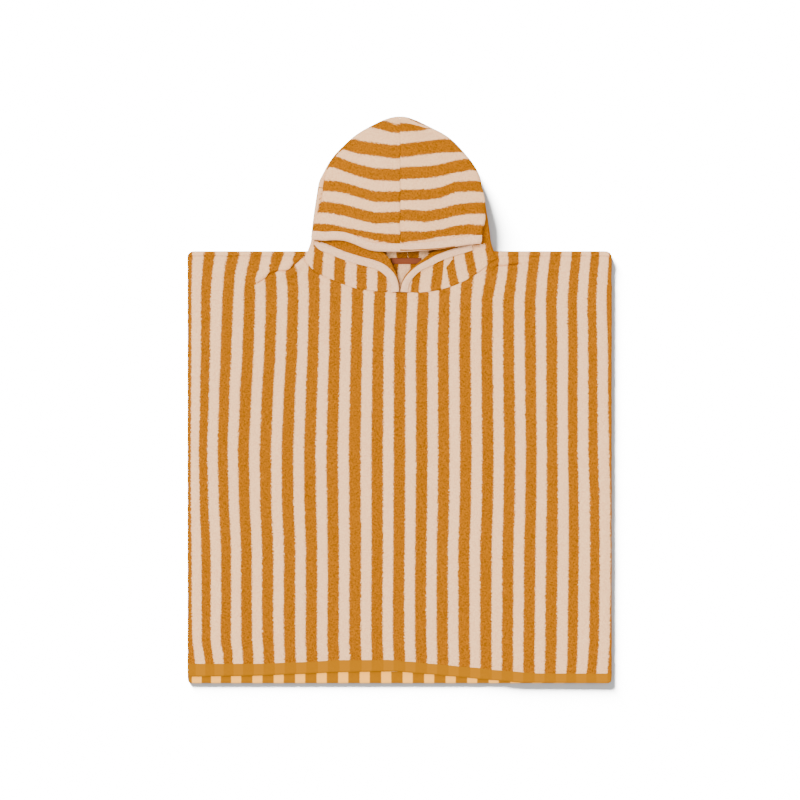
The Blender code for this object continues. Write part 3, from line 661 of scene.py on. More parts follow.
# ---------------------------------------------------------------- finishes
def linear_colour(code: str) -> tuple[float, float, float, float]:
    """Linear colour of an sRGB hex value.

    Args:
        code: Six hex digits.

    Returns:
        Red, green, blue and an alpha of 1.
    """
    channels = []
    for start in (0, 2, 4):
        value = int(code[start:start + 2], 16) / 255
        channels.append(value / 12.92 if value <= 0.04045 else ((value + 0.055) / 1.055) ** 2.4)
    return (*channels, 1.0)


def add_node(material: bpy.types.Material, kind: str, settings: dict | None = None,
             inputs: dict | None = None) -> bpy.types.Node:
    """Add a node to a material.

    Args:
        material: Material that gets it.
        kind: Node type.
        settings: Its own properties.
        inputs: A value, or a socket to link from, for each named or numbered input.

    Returns:
        The node.
    """
    node = material.node_tree.nodes.new(kind)
    for name, value in (settings or {}).items():
        setattr(node, name, value)
    for name, value in (inputs or {}).items():
        if isinstance(value, bpy.types.NodeSocket):
            material.node_tree.links.new(value, node.inputs[name])
        else:
            node.inputs[name].default_value = value
    return node


def blank_material(name: str) -> tuple[bpy.types.Material, bpy.types.Node]:
    """A new material and its shader.

    Args:
        name: Name of the material.

    Returns:
        The material and its Principled BSDF.
    """
    material = bpy.data.materials.new(name)
    material.use_nodes = True
    return material, material.node_tree.nodes["Principled BSDF"]


def dress(material: bpy.types.Material, shader: bpy.types.Node, colour: bpy.types.NodeSocket,
          relief: bpy.types.NodeSocket, gloss: tuple[float, float, float]) -> bpy.types.Material:
    """Give a shader its colour, relief and gloss.

    Args:
        material: Material that the shader is in.
        shader: Its Principled BSDF.
        colour: Socket of the colour.
        relief: Socket of the bumped normal.
        gloss: Roughness, IOR and specular level.

    Returns:
        The material.
    """
    material.node_tree.links.new(colour, shader.inputs["Base Color"])
    material.node_tree.links.new(relief, shader.inputs["Normal"])
    for name, value in zip(("Roughness", "IOR", "Specular IOR Level"), gloss):
        shader.inputs[name].default_value = value
    return material


def orange_mask(material: bpy.types.Material, jag: float, jag_size: float,
                softness: float) -> bpy.types.NodeSocket:
    """Nodes that say where the cloth is orange.

    Args:
        material: Material that gets them.
        jag: How far loops stray over the edge, in stripe repeats.
        jag_size: Size of such a stray, in metres.
        softness: Half width of the change, in stripe repeats.

    Returns:
        1 in the orange stripes, 0 in the cream ones.
    """
    stripe = add_node(material, "ShaderNodeAttribute", {"attribute_name": "stripe"})
    share = add_node(material, "ShaderNodeAttribute", {"attribute_name": "orange_share"})
    coords = add_node(material, "ShaderNodeTexCoord")
    ragged = add_node(material, "ShaderNodeTexNoise", {},
                      {"Vector": coords.outputs["Object"], "Scale": 1 / jag_size,
                       "Detail": 3.0, "Roughness": 0.6})
    centred = add_node(material, "ShaderNodeMath", {"operation": "ADD"},
                       {0: stripe.outputs["Fac"], 1: 0.5})
    part = add_node(material, "ShaderNodeMath", {"operation": "FRACT"}, {0: centred.outputs[0]})
    signed = add_node(material, "ShaderNodeMath", {"operation": "SUBTRACT"},
                      {0: part.outputs[0], 1: 0.5})
    away = add_node(material, "ShaderNodeMath", {"operation": "ABSOLUTE"},
                    {0: signed.outputs[0]})
    half = add_node(material, "ShaderNodeMath", {"operation": "MULTIPLY"},
                    {0: share.outputs["Fac"], 1: 0.5})
    inside = add_node(material, "ShaderNodeMath", {"operation": "SUBTRACT"},
                      {0: half.outputs[0], 1: away.outputs[0]})
    stray = add_node(material, "ShaderNodeMath", {"operation": "MULTIPLY_ADD"},
                     {0: ragged.outputs["Fac"], 1: 2 * jag, 2: -jag})
    edge = add_node(material, "ShaderNodeMath", {"operation": "ADD"},
                    {0: inside.outputs[0], 1: stray.outputs[0]})
    mask = add_node(material, "ShaderNodeMapRange", {"interpolation_type": "SMOOTHSTEP"},
                    {"Value": edge.outputs[0], "From Min": -softness, "From Max": softness})
    return mask.outputs["Result"]


@dataclass(frozen=True)
class StripedTerry:
    """Cotton terry towelling, yarn-dyed in stripes and woven with loops on both faces.

    The loops of one face's stripes stand on the other face in the other colour. Loops give a
    matt surface whose stripe edges are ragged. Its mottle is partly random tone and partly painted
    shade: each colour is darker where the loops' bump is low. Real loops are 1 to 1.5 mm across;
    they are drawn as tufts of two or three, because single ones are too fine to show.
    """

    name: str
    face: Face = Face.RIGHT
    # Each pair is a colour's darker tone, then its lighter one. The darker tone is partly painted
    # shade, put where the loops' bump is low.
    orange: tuple[str, str] = ("7A4500", "A86000")
    cream: tuple[str, str] = ("E6AA7A", "F6C48E")
    loop: float = 1.5 * MM
    tuft: float = 2.6 * MM
    jag: float = 0.15
    relief: float = 1.4 * MM
    edge: float = 0.022                  # half width of a stripe's edge, in repeats
    gloss: tuple[float, float, float] = (1.0, 1.5, 0.0)

    def material(self) -> bpy.types.Material:
        """The finish as a material.

        Returns:
            The material.
        """
        material, shader = blank_material(self.name)
        mask = orange_mask(material, self.jag, self.loop, self.edge)
        if self.face is Face.REVERSE:
            mask = add_node(material, "ShaderNodeMath", {"operation": "SUBTRACT"},
                            {0: 1.0, 1: mask}).outputs[0]
        coords = add_node(material, "ShaderNodeTexCoord").outputs["Object"]
        tufts = add_node(material, "ShaderNodeTexNoise", {},
                         {"Vector": coords, "Scale": 1 / self.tuft, "Detail": 3.0,
                          "Roughness": 0.7})
        loops = add_node(material, "ShaderNodeTexVoronoi", {"feature": "F1"},
                         {"Vector": coords, "Scale": 1 / self.loop, "Randomness": 1.0})
        pile = add_node(material, "ShaderNodeMath", {"operation": "MULTIPLY_ADD"},
                        {0: loops.outputs["Distance"], 1: -0.6, 2: tufts.outputs["Fac"]})
        # Painted shade: the same pile height drives the bump and the colour, so the colour darkens
        # between the loops. The tufts' noise adds random tone.
        shade = add_node(material, "ShaderNodeMapRange", {},
                         {"Value": pile.outputs[0], "From Min": 0.0, "From Max": 0.4})
        orange = add_node(material, "ShaderNodeMix", {"data_type": "RGBA"},
                          {0: shade.outputs["Result"], 6: linear_colour(self.orange[0]),
                           7: linear_colour(self.orange[1])})
        cream = add_node(material, "ShaderNodeMix", {"data_type": "RGBA"},
                         {0: shade.outputs["Result"], 6: linear_colour(self.cream[0]),
                          7: linear_colour(self.cream[1])})
        dyed = add_node(material, "ShaderNodeMix", {"data_type": "RGBA"},
                        {0: mask, 6: cream.outputs[2], 7: orange.outputs[2]})
        bump = add_node(material, "ShaderNodeBump", {},
                        {"Height": pile.outputs[0], "Strength": 1.0, "Distance": self.relief})
        return dress(material, shader, dyed.outputs[2], bump.outputs["Normal"], self.gloss)


@dataclass(frozen=True)
class FlatHem:
    """The same towelling where it is woven flat for the hems, without loops.

    The two yarns show together there: a plain orange rib with paler checks in the cream stripes.
    """

    name: str
    ground: tuple[str, str] = ("8A5400", "955B00")
    check: str = "995F00"
    rib: float = 1.5 * MM
    slub: float = 3.0 * MM
    jag: float = 0.02
    jag_size: float = 2.5 * MM
    edge: float = 0.03
    gloss: tuple[float, float, float] = (0.9, 1.5, 0.0)

    def material(self) -> bpy.types.Material:
        """The finish as a material.

        Returns:
            The material.
        """
        material, shader = blank_material(self.name)
        mask = orange_mask(material, self.jag, self.jag_size, self.edge)
        coords = add_node(material, "ShaderNodeTexCoord").outputs["Object"]
        ribs = add_node(material, "ShaderNodeTexWave", {"bands_direction": "Y"},
                        {"Vector": coords, "Scale": 1 / (self.rib * WAVE_RATIO), "Distortion": 1.2,
                         "Detail": 2.0, "Detail Scale": 2.0})
        slubs = add_node(material, "ShaderNodeTexNoise", {},
                         {"Vector": coords, "Scale": 1 / self.slub, "Detail": 3.0})
        ground = add_node(material, "ShaderNodeMix", {"data_type": "RGBA"},
                          {0: slubs.outputs["Fac"], 6: linear_colour(self.ground[0]),
                           7: linear_colour(self.ground[1])})
        dyed = add_node(material, "ShaderNodeMix", {"data_type": "RGBA"},
                        {0: mask, 6: linear_colour(self.check), 7: ground.outputs[2]})
        bump = add_node(material, "ShaderNodeBump", {},
                        {"Height": ribs.outputs["Fac"], "Strength": 0.35, "Distance": 0.3 * MM})
        return dress(material, shader, dyed.outputs[2], bump.outputs["Normal"], self.gloss)


@dataclass(frozen=True)
class WovenLabel:
    """Polyester satin label tape, bare, with a fine rib and a slight shine."""

    name: str
    colour: tuple[str, str] = ("6A3014", "783A18")
    rib: float = 1.4 * MM
    gloss: tuple[float, float, float] = (0.55, 1.57, 0.08)

    def material(self) -> bpy.types.Material:
        """The finish as a material.

        Returns:
            The material.
        """
        material, shader = blank_material(self.name)
        coords = add_node(material, "ShaderNodeTexCoord").outputs["Object"]
        ribs = add_node(material, "ShaderNodeTexWave", {"bands_direction": "X"},
                        {"Vector": coords, "Scale": 1 / (self.rib * WAVE_RATIO), "Distortion": 0.4})
        cloth = add_node(material, "ShaderNodeMix", {"data_type": "RGBA"},
                         {0: ribs.outputs["Fac"], 6: linear_colour(self.colour[0]),
                          7: linear_colour(self.colour[1])})
        bump = add_node(material, "ShaderNodeBump", {},
                        {"Height": ribs.outputs["Fac"], "Strength": 0.3, "Distance": 0.2 * MM})
        return dress(material, shader, cloth.outputs[2], bump.outputs["Normal"], self.gloss)


@dataclass(frozen=True)
class Backdrop:
    """Matt pale grey paper sweep, lit up to white."""

    name: str = "paper_sweep"
    colour: str = "A6A6A6"

    def material(self) -> bpy.types.Material:
        """The finish as a material.

        Returns:
            The material.
        """
        material, shader = blank_material(self.name)
        shader.inputs["Base Color"].default_value = linear_colour(self.colour)
        shader.inputs["Roughness"].default_value = 1.0
        shader.inputs["Specular IOR Level"].default_value = 0.0
        return material


# ---------------------------------------------------------------- sewing
@dataclass(frozen=True)
class ClothPoint:
    """A point of the cloth: its place, its place in the stripes and its share of the wall."""

    place: Vector
    dye: Dye
    pile: float = 1.0


@dataclass
class Patch:
    """A grid of cloth points, and which finish each cell has.

    Args:
        points: Rows of points.
        finish: Number of the finish of the cell at a column and row.
    """

    points: list[list[ClothPoint]]
    finish: Callable[[int, int], int] = lambda column, row: 0

    def add_to(self, bm: bmesh.types.BMesh) -> None:
        """Add the patch to a mesh.

        Args:
            bm: Mesh that has the stripe layers.
        """
        stripe = bm.verts.layers.float["stripe"]
        share = bm.verts.layers.float["orange_share"]
        pile = bm.verts.layers.deform.verify()
        columns = len(self.points[0]) - 1
        rows = len(self.points) - 1
        made = bmesh.ops.create_grid(bm, x_segments=columns, y_segments=rows, size=0.5)
        faces = {face for vertex in made["verts"] for face in vertex.link_faces}
        for face in faces:
            middle = face.calc_center_median()
            column = int((middle.x + 0.5) * columns)
            face.material_index = self.finish(column, int((middle.y + 0.5) * rows))
        for vertex in made["verts"]:
            column = round((vertex.co.x + 0.5) * columns)
            point = self.points[round((vertex.co.y + 0.5) * rows)][column]
            vertex.co = point.place
            vertex[stripe] = point.dye.stripe
            vertex[share] = point.dye.share
            vertex[pile][0] = point.pile


@dataclass
class ClothPiece:
    """A sewn piece: patches joined at their edges and closed into a wall.

    Args:
        node: Node of the frame that it replaces, and the end of its own name.
        patches: Its surface.
        wall: Thickness.
        outward: 1 adds the wall along the normals, -1 against them.
        finishes: Materials of the surface, then those of the wall's other face.
        slot: Not used.
        flip: Whether the patches' normals are turned first.
        area: Area of the surface, known once it is sewn.
    """

    node: str
    patches: list[Patch]
    wall: float
    outward: int
    finishes: list[bpy.types.Material]
    slot: str
    flip: bool = False
    area: float = 0.0

    def sew(self) -> bpy.types.Object:
        """Build the piece and hand it to the frame.

        Returns:
            The piece.
        """
        bm = bmesh.new()
        bm.verts.layers.float.new("stripe")
        bm.verts.layers.float.new("orange_share")
        for patch in self.patches:
            patch.add_to(bm)
        bmesh.ops.remove_doubles(bm, verts=bm.verts, dist=0.01 * MM)
        if self.flip:
            bmesh.ops.reverse_faces(bm, faces=bm.faces)
        self.area = sum(face.calc_area() for face in bm.faces)
        mesh = bpy.data.meshes.new(self.node + "_cloth")
        bm.to_mesh(mesh)
        bm.free()
        mesh.shade_smooth()
        for finish in self.finishes:
            mesh.materials.append(finish)
        piece = bpy.data.objects.new(self.node + "_cloth", mesh)
        bpy.context.scene.collection.objects.link(piece)
        pile = piece.vertex_groups.new(name="pile")
        wall = piece.modifiers.new("wall", "SOLIDIFY")
        wall.thickness = self.wall
        wall.offset = self.outward
        wall.vertex_group = pile.name
        wall.material_offset = len(self.finishes) // 2
        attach(piece, "root")
        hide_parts(self.node)
        log.info("%s: %d faces, %.4f square metres", piece.name, len(mesh.polygons), self.area)
        return piece


def ruffle(place: Vector, size: float, height: float, seed: float = 0.0) -> float:
    """Small unevenness of soft cloth.

    Args:
        place: Point on the cloth.
        size: Length of a swell.
        height: Height of a swell.
        seed: Sets one piece off from another.

    Returns:
        Rise at the point.
    """
    return noise.noise(Vector((place.x, place.y, place.z * 0.5 + seed)) / size) * height


def wall_share(past_hem: float, from_side: float) -> float:
    """Share of the full wall: all of it under pile, less where the cloth is woven flat.

    Args:
        past_hem: Distance past the line where the lower hem ends.
        from_side: Distance from the panel's side edge.

    Returns:
        The share.
    """
    flat = HEM_CLOTH / TERRY
    inside = min(past_hem, from_side - SIDE_HEM)
    return flat + (1 - flat) * smooth_step(inside / HEM_STEP + 0.5)


def corner_pull(x: float, above_hem: float) -> float:
    """How far the hem's corner is drawn in at an X and a height above the hem."""
    return CORNER_PULL * (bell(BODY_WIDTH / 2 - abs(x), CORNER_SPAN) * bell(above_hem, CORNER_SPAN))


def off_table(place: Vector) -> Vector:
    """The point, no lower than the table."""
    return Vector((place.x, place.y, max(place.z, 0.0)))


# ---------------------------------------------------------------- body
def spaced(start: float, end: float, cell: float) -> list[float]:
    """Even steps from a start, without the end, none longer than a cell."""
    count = math.ceil((end - start) / cell)
    return [start + (end - start) * step / count for step in range(count)]


@dataclass
class FrontPanel:
    """Front panel, from the shoulder seam and the neck seam to its hem."""

    stripes: BodyStripes
    cell: float = 3.6 * MM
    fine_cell: float = 1.3 * MM          # over the tucks beside the neck
    tuck_width: tuple[float, float] = (70.0 * MM, 42.0 * MM)
    tuck_start: float = 0.907            # share of the length below the tucks
    rows: tuple[int, int] = (122, 46)
    neck_steps: int = 3
    hem_rows: int = 6
    pressed_seam: float = 0.78           # share of the wall left where a seam presses it
    least_wall: float = 0.22             # share of the wall left in the deepest crease
    swells: tuple[tuple[float, float], ...] = ((38.0 * MM, 0.5 * MM), (14.0 * MM, 0.25 * MM))
    swell_rest: float = 0.5 * MM
    side_wave: tuple[float, float] = (9.0 * MM, 0.5 * MM)

    def tops(self) -> list[Vector]:
        """Upper end of every column, in plan.

        Returns:
            Points from left to right.
        """
        half = BODY_WIDTH / 2
        shoulder_top = SHOULDER_SEAM_Y - SEAM_GAP / 2
        count = NECK_COLUMNS * self.neck_steps
        left = trace(NECK_SEAM[Side.LEFT], count, CENTRE_CROWDING)
        right = trace(NECK_SEAM[Side.RIGHT], count, CENTRE_CROWDING)
        low, high = -half + SIDE_HEM, half - SIDE_HEM
        tuck_left = NECK_LEFT - self.tuck_width[0]
        tuck_right = NECK_RIGHT + self.tuck_width[1]
        shoulders = [-half + SIDE_HEM * share / 3 for share in range(3)]
        shoulders += spaced(low, tuck_left, self.cell)
        shoulders += spaced(tuck_left, NECK_LEFT, self.fine_cell) + [NECK_LEFT]
        points = [Vector((x, shoulder_top)) for x in shoulders]
        points += [station - Vector((0, SEAM_GAP / 2)) for station in left]
        points += [Vector((left[-1].x + (CROWN_X - left[-1].x) * share / 3, CENTRE_FRONT_Y))
                   for share in range(1, 4)]
        points += [Vector((CROWN_X + (right[-1].x - CROWN_X) * share / 3, CENTRE_FRONT_Y))
                   for share in range(1, 3)]
        points += [station - Vector((0, SEAM_GAP / 2)) for station in right[::-1]]
        shoulders = spaced(NECK_RIGHT, tuck_right, self.fine_cell)
        shoulders += spaced(tuck_right, high, self.cell)
        shoulders += [high + SIDE_HEM * share / 3 for share in range(4)]
        points += [Vector((x, shoulder_top)) for x in shoulders]
        return points

    def ridge_height(self, x: float, y: float) -> float:
        """Rise of the panel's soft ridges at a point.

        Args:
            x: Distance right of the body's middle.
            y: Height up the garment.

        Returns:
            The rise.
        """
        rise = 0.0
        for ridge in RIDGES:
            distance = distance_to(Point(x, y), (Point(ridge.x0, ridge.y0),
                                                 Point(ridge.x1, ridge.y1)))
            rise = max(rise, ridge.height * MM * bell(distance, ridge.spread * MM))
        return rise

    def underside(self, x: float, y: float) -> float:
        """Height of the panel's inner face.

        Args:
            x: Distance right of the body's middle.
            y: Height up the garment.

        Returns:
            Height over the table.
        """
        to_shoulder = smooth_step((y - SHOULDER_SEAM_Y + SHOULDER_RISE) / SHOULDER_RISE)
        shoulder_rest = 2 * FOLD_RADIUS - TERRY
        edge = smooth_step((BODY_WIDTH / 2 - abs(x)) / EDGE_FALL)
        crease = min(distance_to(Point(x, y), line) for line in CREASES)
        ridge = self.ridge_height(x, y) * edge * (1 - to_shoulder)
        ridge *= 1 - bell(crease, 2 * CREASE_WIDTH)
        place = Vector((x, y, 0.0))
        swell = self.swell_rest
        for size, height in self.swells:
            swell += ruffle(place, size, height)
        swell *= edge * smooth_step((y + GARMENT_LENGTH / 2 - BACK_HEM_DEPTH) / EDGE_FALL)
        return FRONT_REST + (shoulder_rest - FRONT_REST) * to_shoulder + ridge + swell

    def levels(self) -> list[float]:
        """Shares of the way from the pile's end to the top, close together over the tucks.

        Returns:
            Shares from 0 to 1.
        """
        wide, fine = self.rows
        shares = [self.tuck_start * step / wide for step in range(wide)]
        return shares + [self.tuck_start + (1 - self.tuck_start) * step / fine
                         for step in range(fine + 1)]

    def point(self, x: float, y: float, top: float, pile_end: float) -> ClothPoint:
        """A point of the panel's inner face.

        Args:
            x: Distance right of the body's middle.
            y: Height up the garment.
            top: Where the column ends above.
            pile_end: Where the hem ends and the pile begins.

        Returns:
            The point.
        """
        z = self.underside(x, y)
        crease = min(distance_to(Point(x, y), line) for line in CREASES)
        pressed = bell(crease, CREASE_WIDTH) * CREASE_DEPTH / TERRY
        seam = bell(top - y, SEAM_PRESS_SPAN) * (1 - self.pressed_seam)
        pile = wall_share(y - pile_end, BODY_WIDTH / 2 - abs(x))
        pile = max(pile - pressed - seam, self.least_wall)
        return ClothPoint(Vector((x, y, z)), self.stripes.dye(x, y), pile)

    def patch(self) -> Patch:
        """The panel's grid.

        Returns:
            The inner face, from the hem up.
        """
        tops = self.tops()
        levels = self.levels()
        points = []
        for row in range(self.hem_rows + len(levels)):
            line = []
            for top in tops:
                low = look_up(FRONT_HEM, "x", "y", top.x)
                pile_end = look_up(PILE_END, "x", "y", top.x)
                if row < self.hem_rows:
                    y = low + (pile_end - low) * row / self.hem_rows
                else:
                    y = pile_end + (top.y - pile_end) * levels[row - self.hem_rows]
                corner = corner_pull(top.x, y - low)
                x = top.x - math.copysign(corner, top.x)
                x += ruffle(Vector((x, y, 0.0)), *self.side_wave, 3.0) * bell(
                    BODY_WIDTH / 2 - abs(x), 4 * MM)
                y += corner
                line.append(self.point(x, y, top.y, pile_end))
            points.append(line)
        return Patch(points, lambda column, row: 1 if row < self.hem_rows else 0)

    def sew(self, finishes: list[bpy.types.Material]) -> bpy.types.Object:
        """Build the panel.

        Args:
            finishes: Materials of the outer face, then those of the inner one.

        Returns:
            The piece.
        """
        cloth = ClothPiece("front_panel", [self.patch()], TERRY, 1, finishes, "striped_terry")
        piece = cloth.sew()
        return piece


def distance_to(point: Point, line: Sequence[Point]) -> float:
    """Distance in plan from a point to a broken line.

    Args:
        point: Point in metres.
        line: Line in millimetres.

    Returns:
        The distance in metres.
    """
    nearest = math.inf
    for a, b in zip(line, line[1:]):
        along_x, along_y = (b.x - a.x) * MM, (b.y - a.y) * MM
        to_x, to_y = point.x - a.x * MM, point.y - a.y * MM
        share = (to_x * along_x + to_y * along_y) / (along_x ** 2 + along_y ** 2)
        share = min(max(share, 0.0), 1.0)
        nearest = min(nearest, math.hypot(to_x - along_x * share, to_y - along_y * share))
    return nearest


@dataclass
class BackPanel:
    """Back panel: flat on the table, turned over the shoulder line to the shoulder seam."""

    stripes: BodyStripes
    cell: float = 5.0 * MM
    hem_rows: int = 4
    wrap_steps: int = 10
    seam_press: float = 0.22             # share of the wall that the shoulder seam presses away
    curl_span: float = 5.0 * MM
    reach_shares: tuple[float, ...] = (0.35, 0.7, 1.0)
    reach_span: float = 4.0 * MM         # the shoulders' reach grows over this above their seam
    turned_corner: tuple[float, float] = (4.0 * MM, 1.6)      # span, and pull in corner pulls

    def columns(self) -> tuple[list[float], list[float], list[float]]:
        """X of every column: left shoulder, neck and right shoulder.

        Returns:
            The three runs, from left to right.
        """
        half = BODY_WIDTH / 2
        low, high = -half + SIDE_HEM, half - SIDE_HEM
        outer = math.ceil((NECK_LEFT + half - SIDE_HEM) / self.cell)
        inner = math.ceil((NECK_RIGHT - NECK_LEFT) / self.cell)
        left = [-half, -half + SIDE_HEM / 2]
        left += [low + (NECK_LEFT - low) * step / outer for step in range(outer + 1)]
        neck = [NECK_LEFT + (NECK_RIGHT - NECK_LEFT) * step / inner for step in range(1, inner)]
        right = [NECK_RIGHT + (high - NECK_RIGHT) * step / outer for step in range(outer + 1)]
        return left, neck, right + [high + SIDE_HEM / 2, half]

    def point(self, x: float, y: float, z: float, along: float) -> ClothPoint:
        """A point of the panel's outer face, along its length.

        Args:
            x: Distance right of the body's middle.
            y: Height up the garment.
            z: Height over the table.
            along: Height up the panel before it was turned.

        Returns:
            The point.
        """
        hem_y = -GARMENT_LENGTH / 2
        pile = wall_share(along - hem_y - BACK_HEM_DEPTH, BODY_WIDTH / 2 - abs(x))
        if z > FOLD_RADIUS:
            pile -= self.seam_press * bell(y - SHOULDER_SEAM_Y, SEAM_PRESS_SPAN)
        return ClothPoint(Vector((x, y, z)), self.stripes.dye(x, min(along, y)), pile)

    def patches(self) -> list[Patch]:
        """The flat sheet, then the two turned shoulders.

        Returns:
            The sheet, the left shoulder and the right one.
        """
        left, neck, right = self.columns()
        hem_y = -GARMENT_LENGTH / 2
        top_y = NAPE_Y - SEAM_GAP / 2
        pile_end = hem_y + BACK_HEM_DEPTH
        rows = math.ceil((top_y - pile_end) / self.cell)
        levels = [hem_y + BACK_HEM_DEPTH * row / self.hem_rows for row in range(self.hem_rows)]
        levels += [pile_end + (top_y - pile_end) * row / rows for row in range(rows + 1)]
        points = []
        for y in levels:
            line = []
            for x in left + neck + right:
                shift = corner_pull(x, y - hem_y)
                curl = HEM_CURL * bell(y - hem_y, self.curl_span)
                line.append(self.point(x - math.copysign(shift, x), y + shift, curl, y))
            points.append(line)
        sheet = Patch(points, lambda column, row: 1 if row < self.hem_rows else 0)
        fold_y = SHOULDER_Y - FOLD_RADIUS
        wrap = [(top_y, 0.0)]
        for step in range(self.wrap_steps + 1):
            angle = math.pi * step / self.wrap_steps
            wrap.append((fold_y + FOLD_RADIUS * math.sin(angle),
                         FOLD_RADIUS * (1 - math.cos(angle))))
        wrap.append((SHOULDER_SEAM_Y + 1.6 * MM, 2 * FOLD_RADIUS))
        wrap.append((SHOULDER_SEAM_Y + SEAM_GAP / 2, 2 * FOLD_RADIUS))
        turned = []
        for side, places in ((Side.LEFT, left), (Side.RIGHT, right)):
            points = []
            for y, z in wrap:
                reach = -side.value * SHOULDER_REACH[side] * smooth_step(
                    (y - SHOULDER_SEAM_Y) / self.reach_span)
                inner = [(NECK_LEFT if side is Side.LEFT else NECK_RIGHT) + reach * share
                         for share in self.reach_shares]
                line = [*places, *inner] if side is Side.LEFT else [*inner[::-1], *places]
                points.append([self.turned_point(x, y, z) for x in line])
            turned.append(Patch(points))
        return [sheet, *turned]

    def turned_point(self, x: float, y: float, z: float) -> ClothPoint:
        """A point of a turned shoulder, its outer corner rounded off.

        Args:
            x: Distance right of the body's middle.
            y: Height up the garment.
            z: Height over the table.

        Returns:
            The point.
        """
        span, pull = self.turned_corner
        corner = bell(BODY_WIDTH / 2 - abs(x), span) * bell(SHOULDER_Y - y, span)
        point = self.point(x, y, z, y + z)
        shift = Vector((-math.copysign(corner, x), -corner, 0.0)) * pull * CORNER_PULL
        return ClothPoint(point.place + shift, point.dye, point.pile)

    def sew(self, finishes: list[bpy.types.Material]) -> bpy.types.Object:
        """Build the panel.

        Args:
            finishes: Materials of the outer face, then those of the inner one.

        Returns:
            The piece.
        """
        cloth = ClothPiece("back_panel", self.patches(), TERRY, -1, finishes, "striped_terry",
                           flip=True)
        piece = cloth.sew()
        return piece


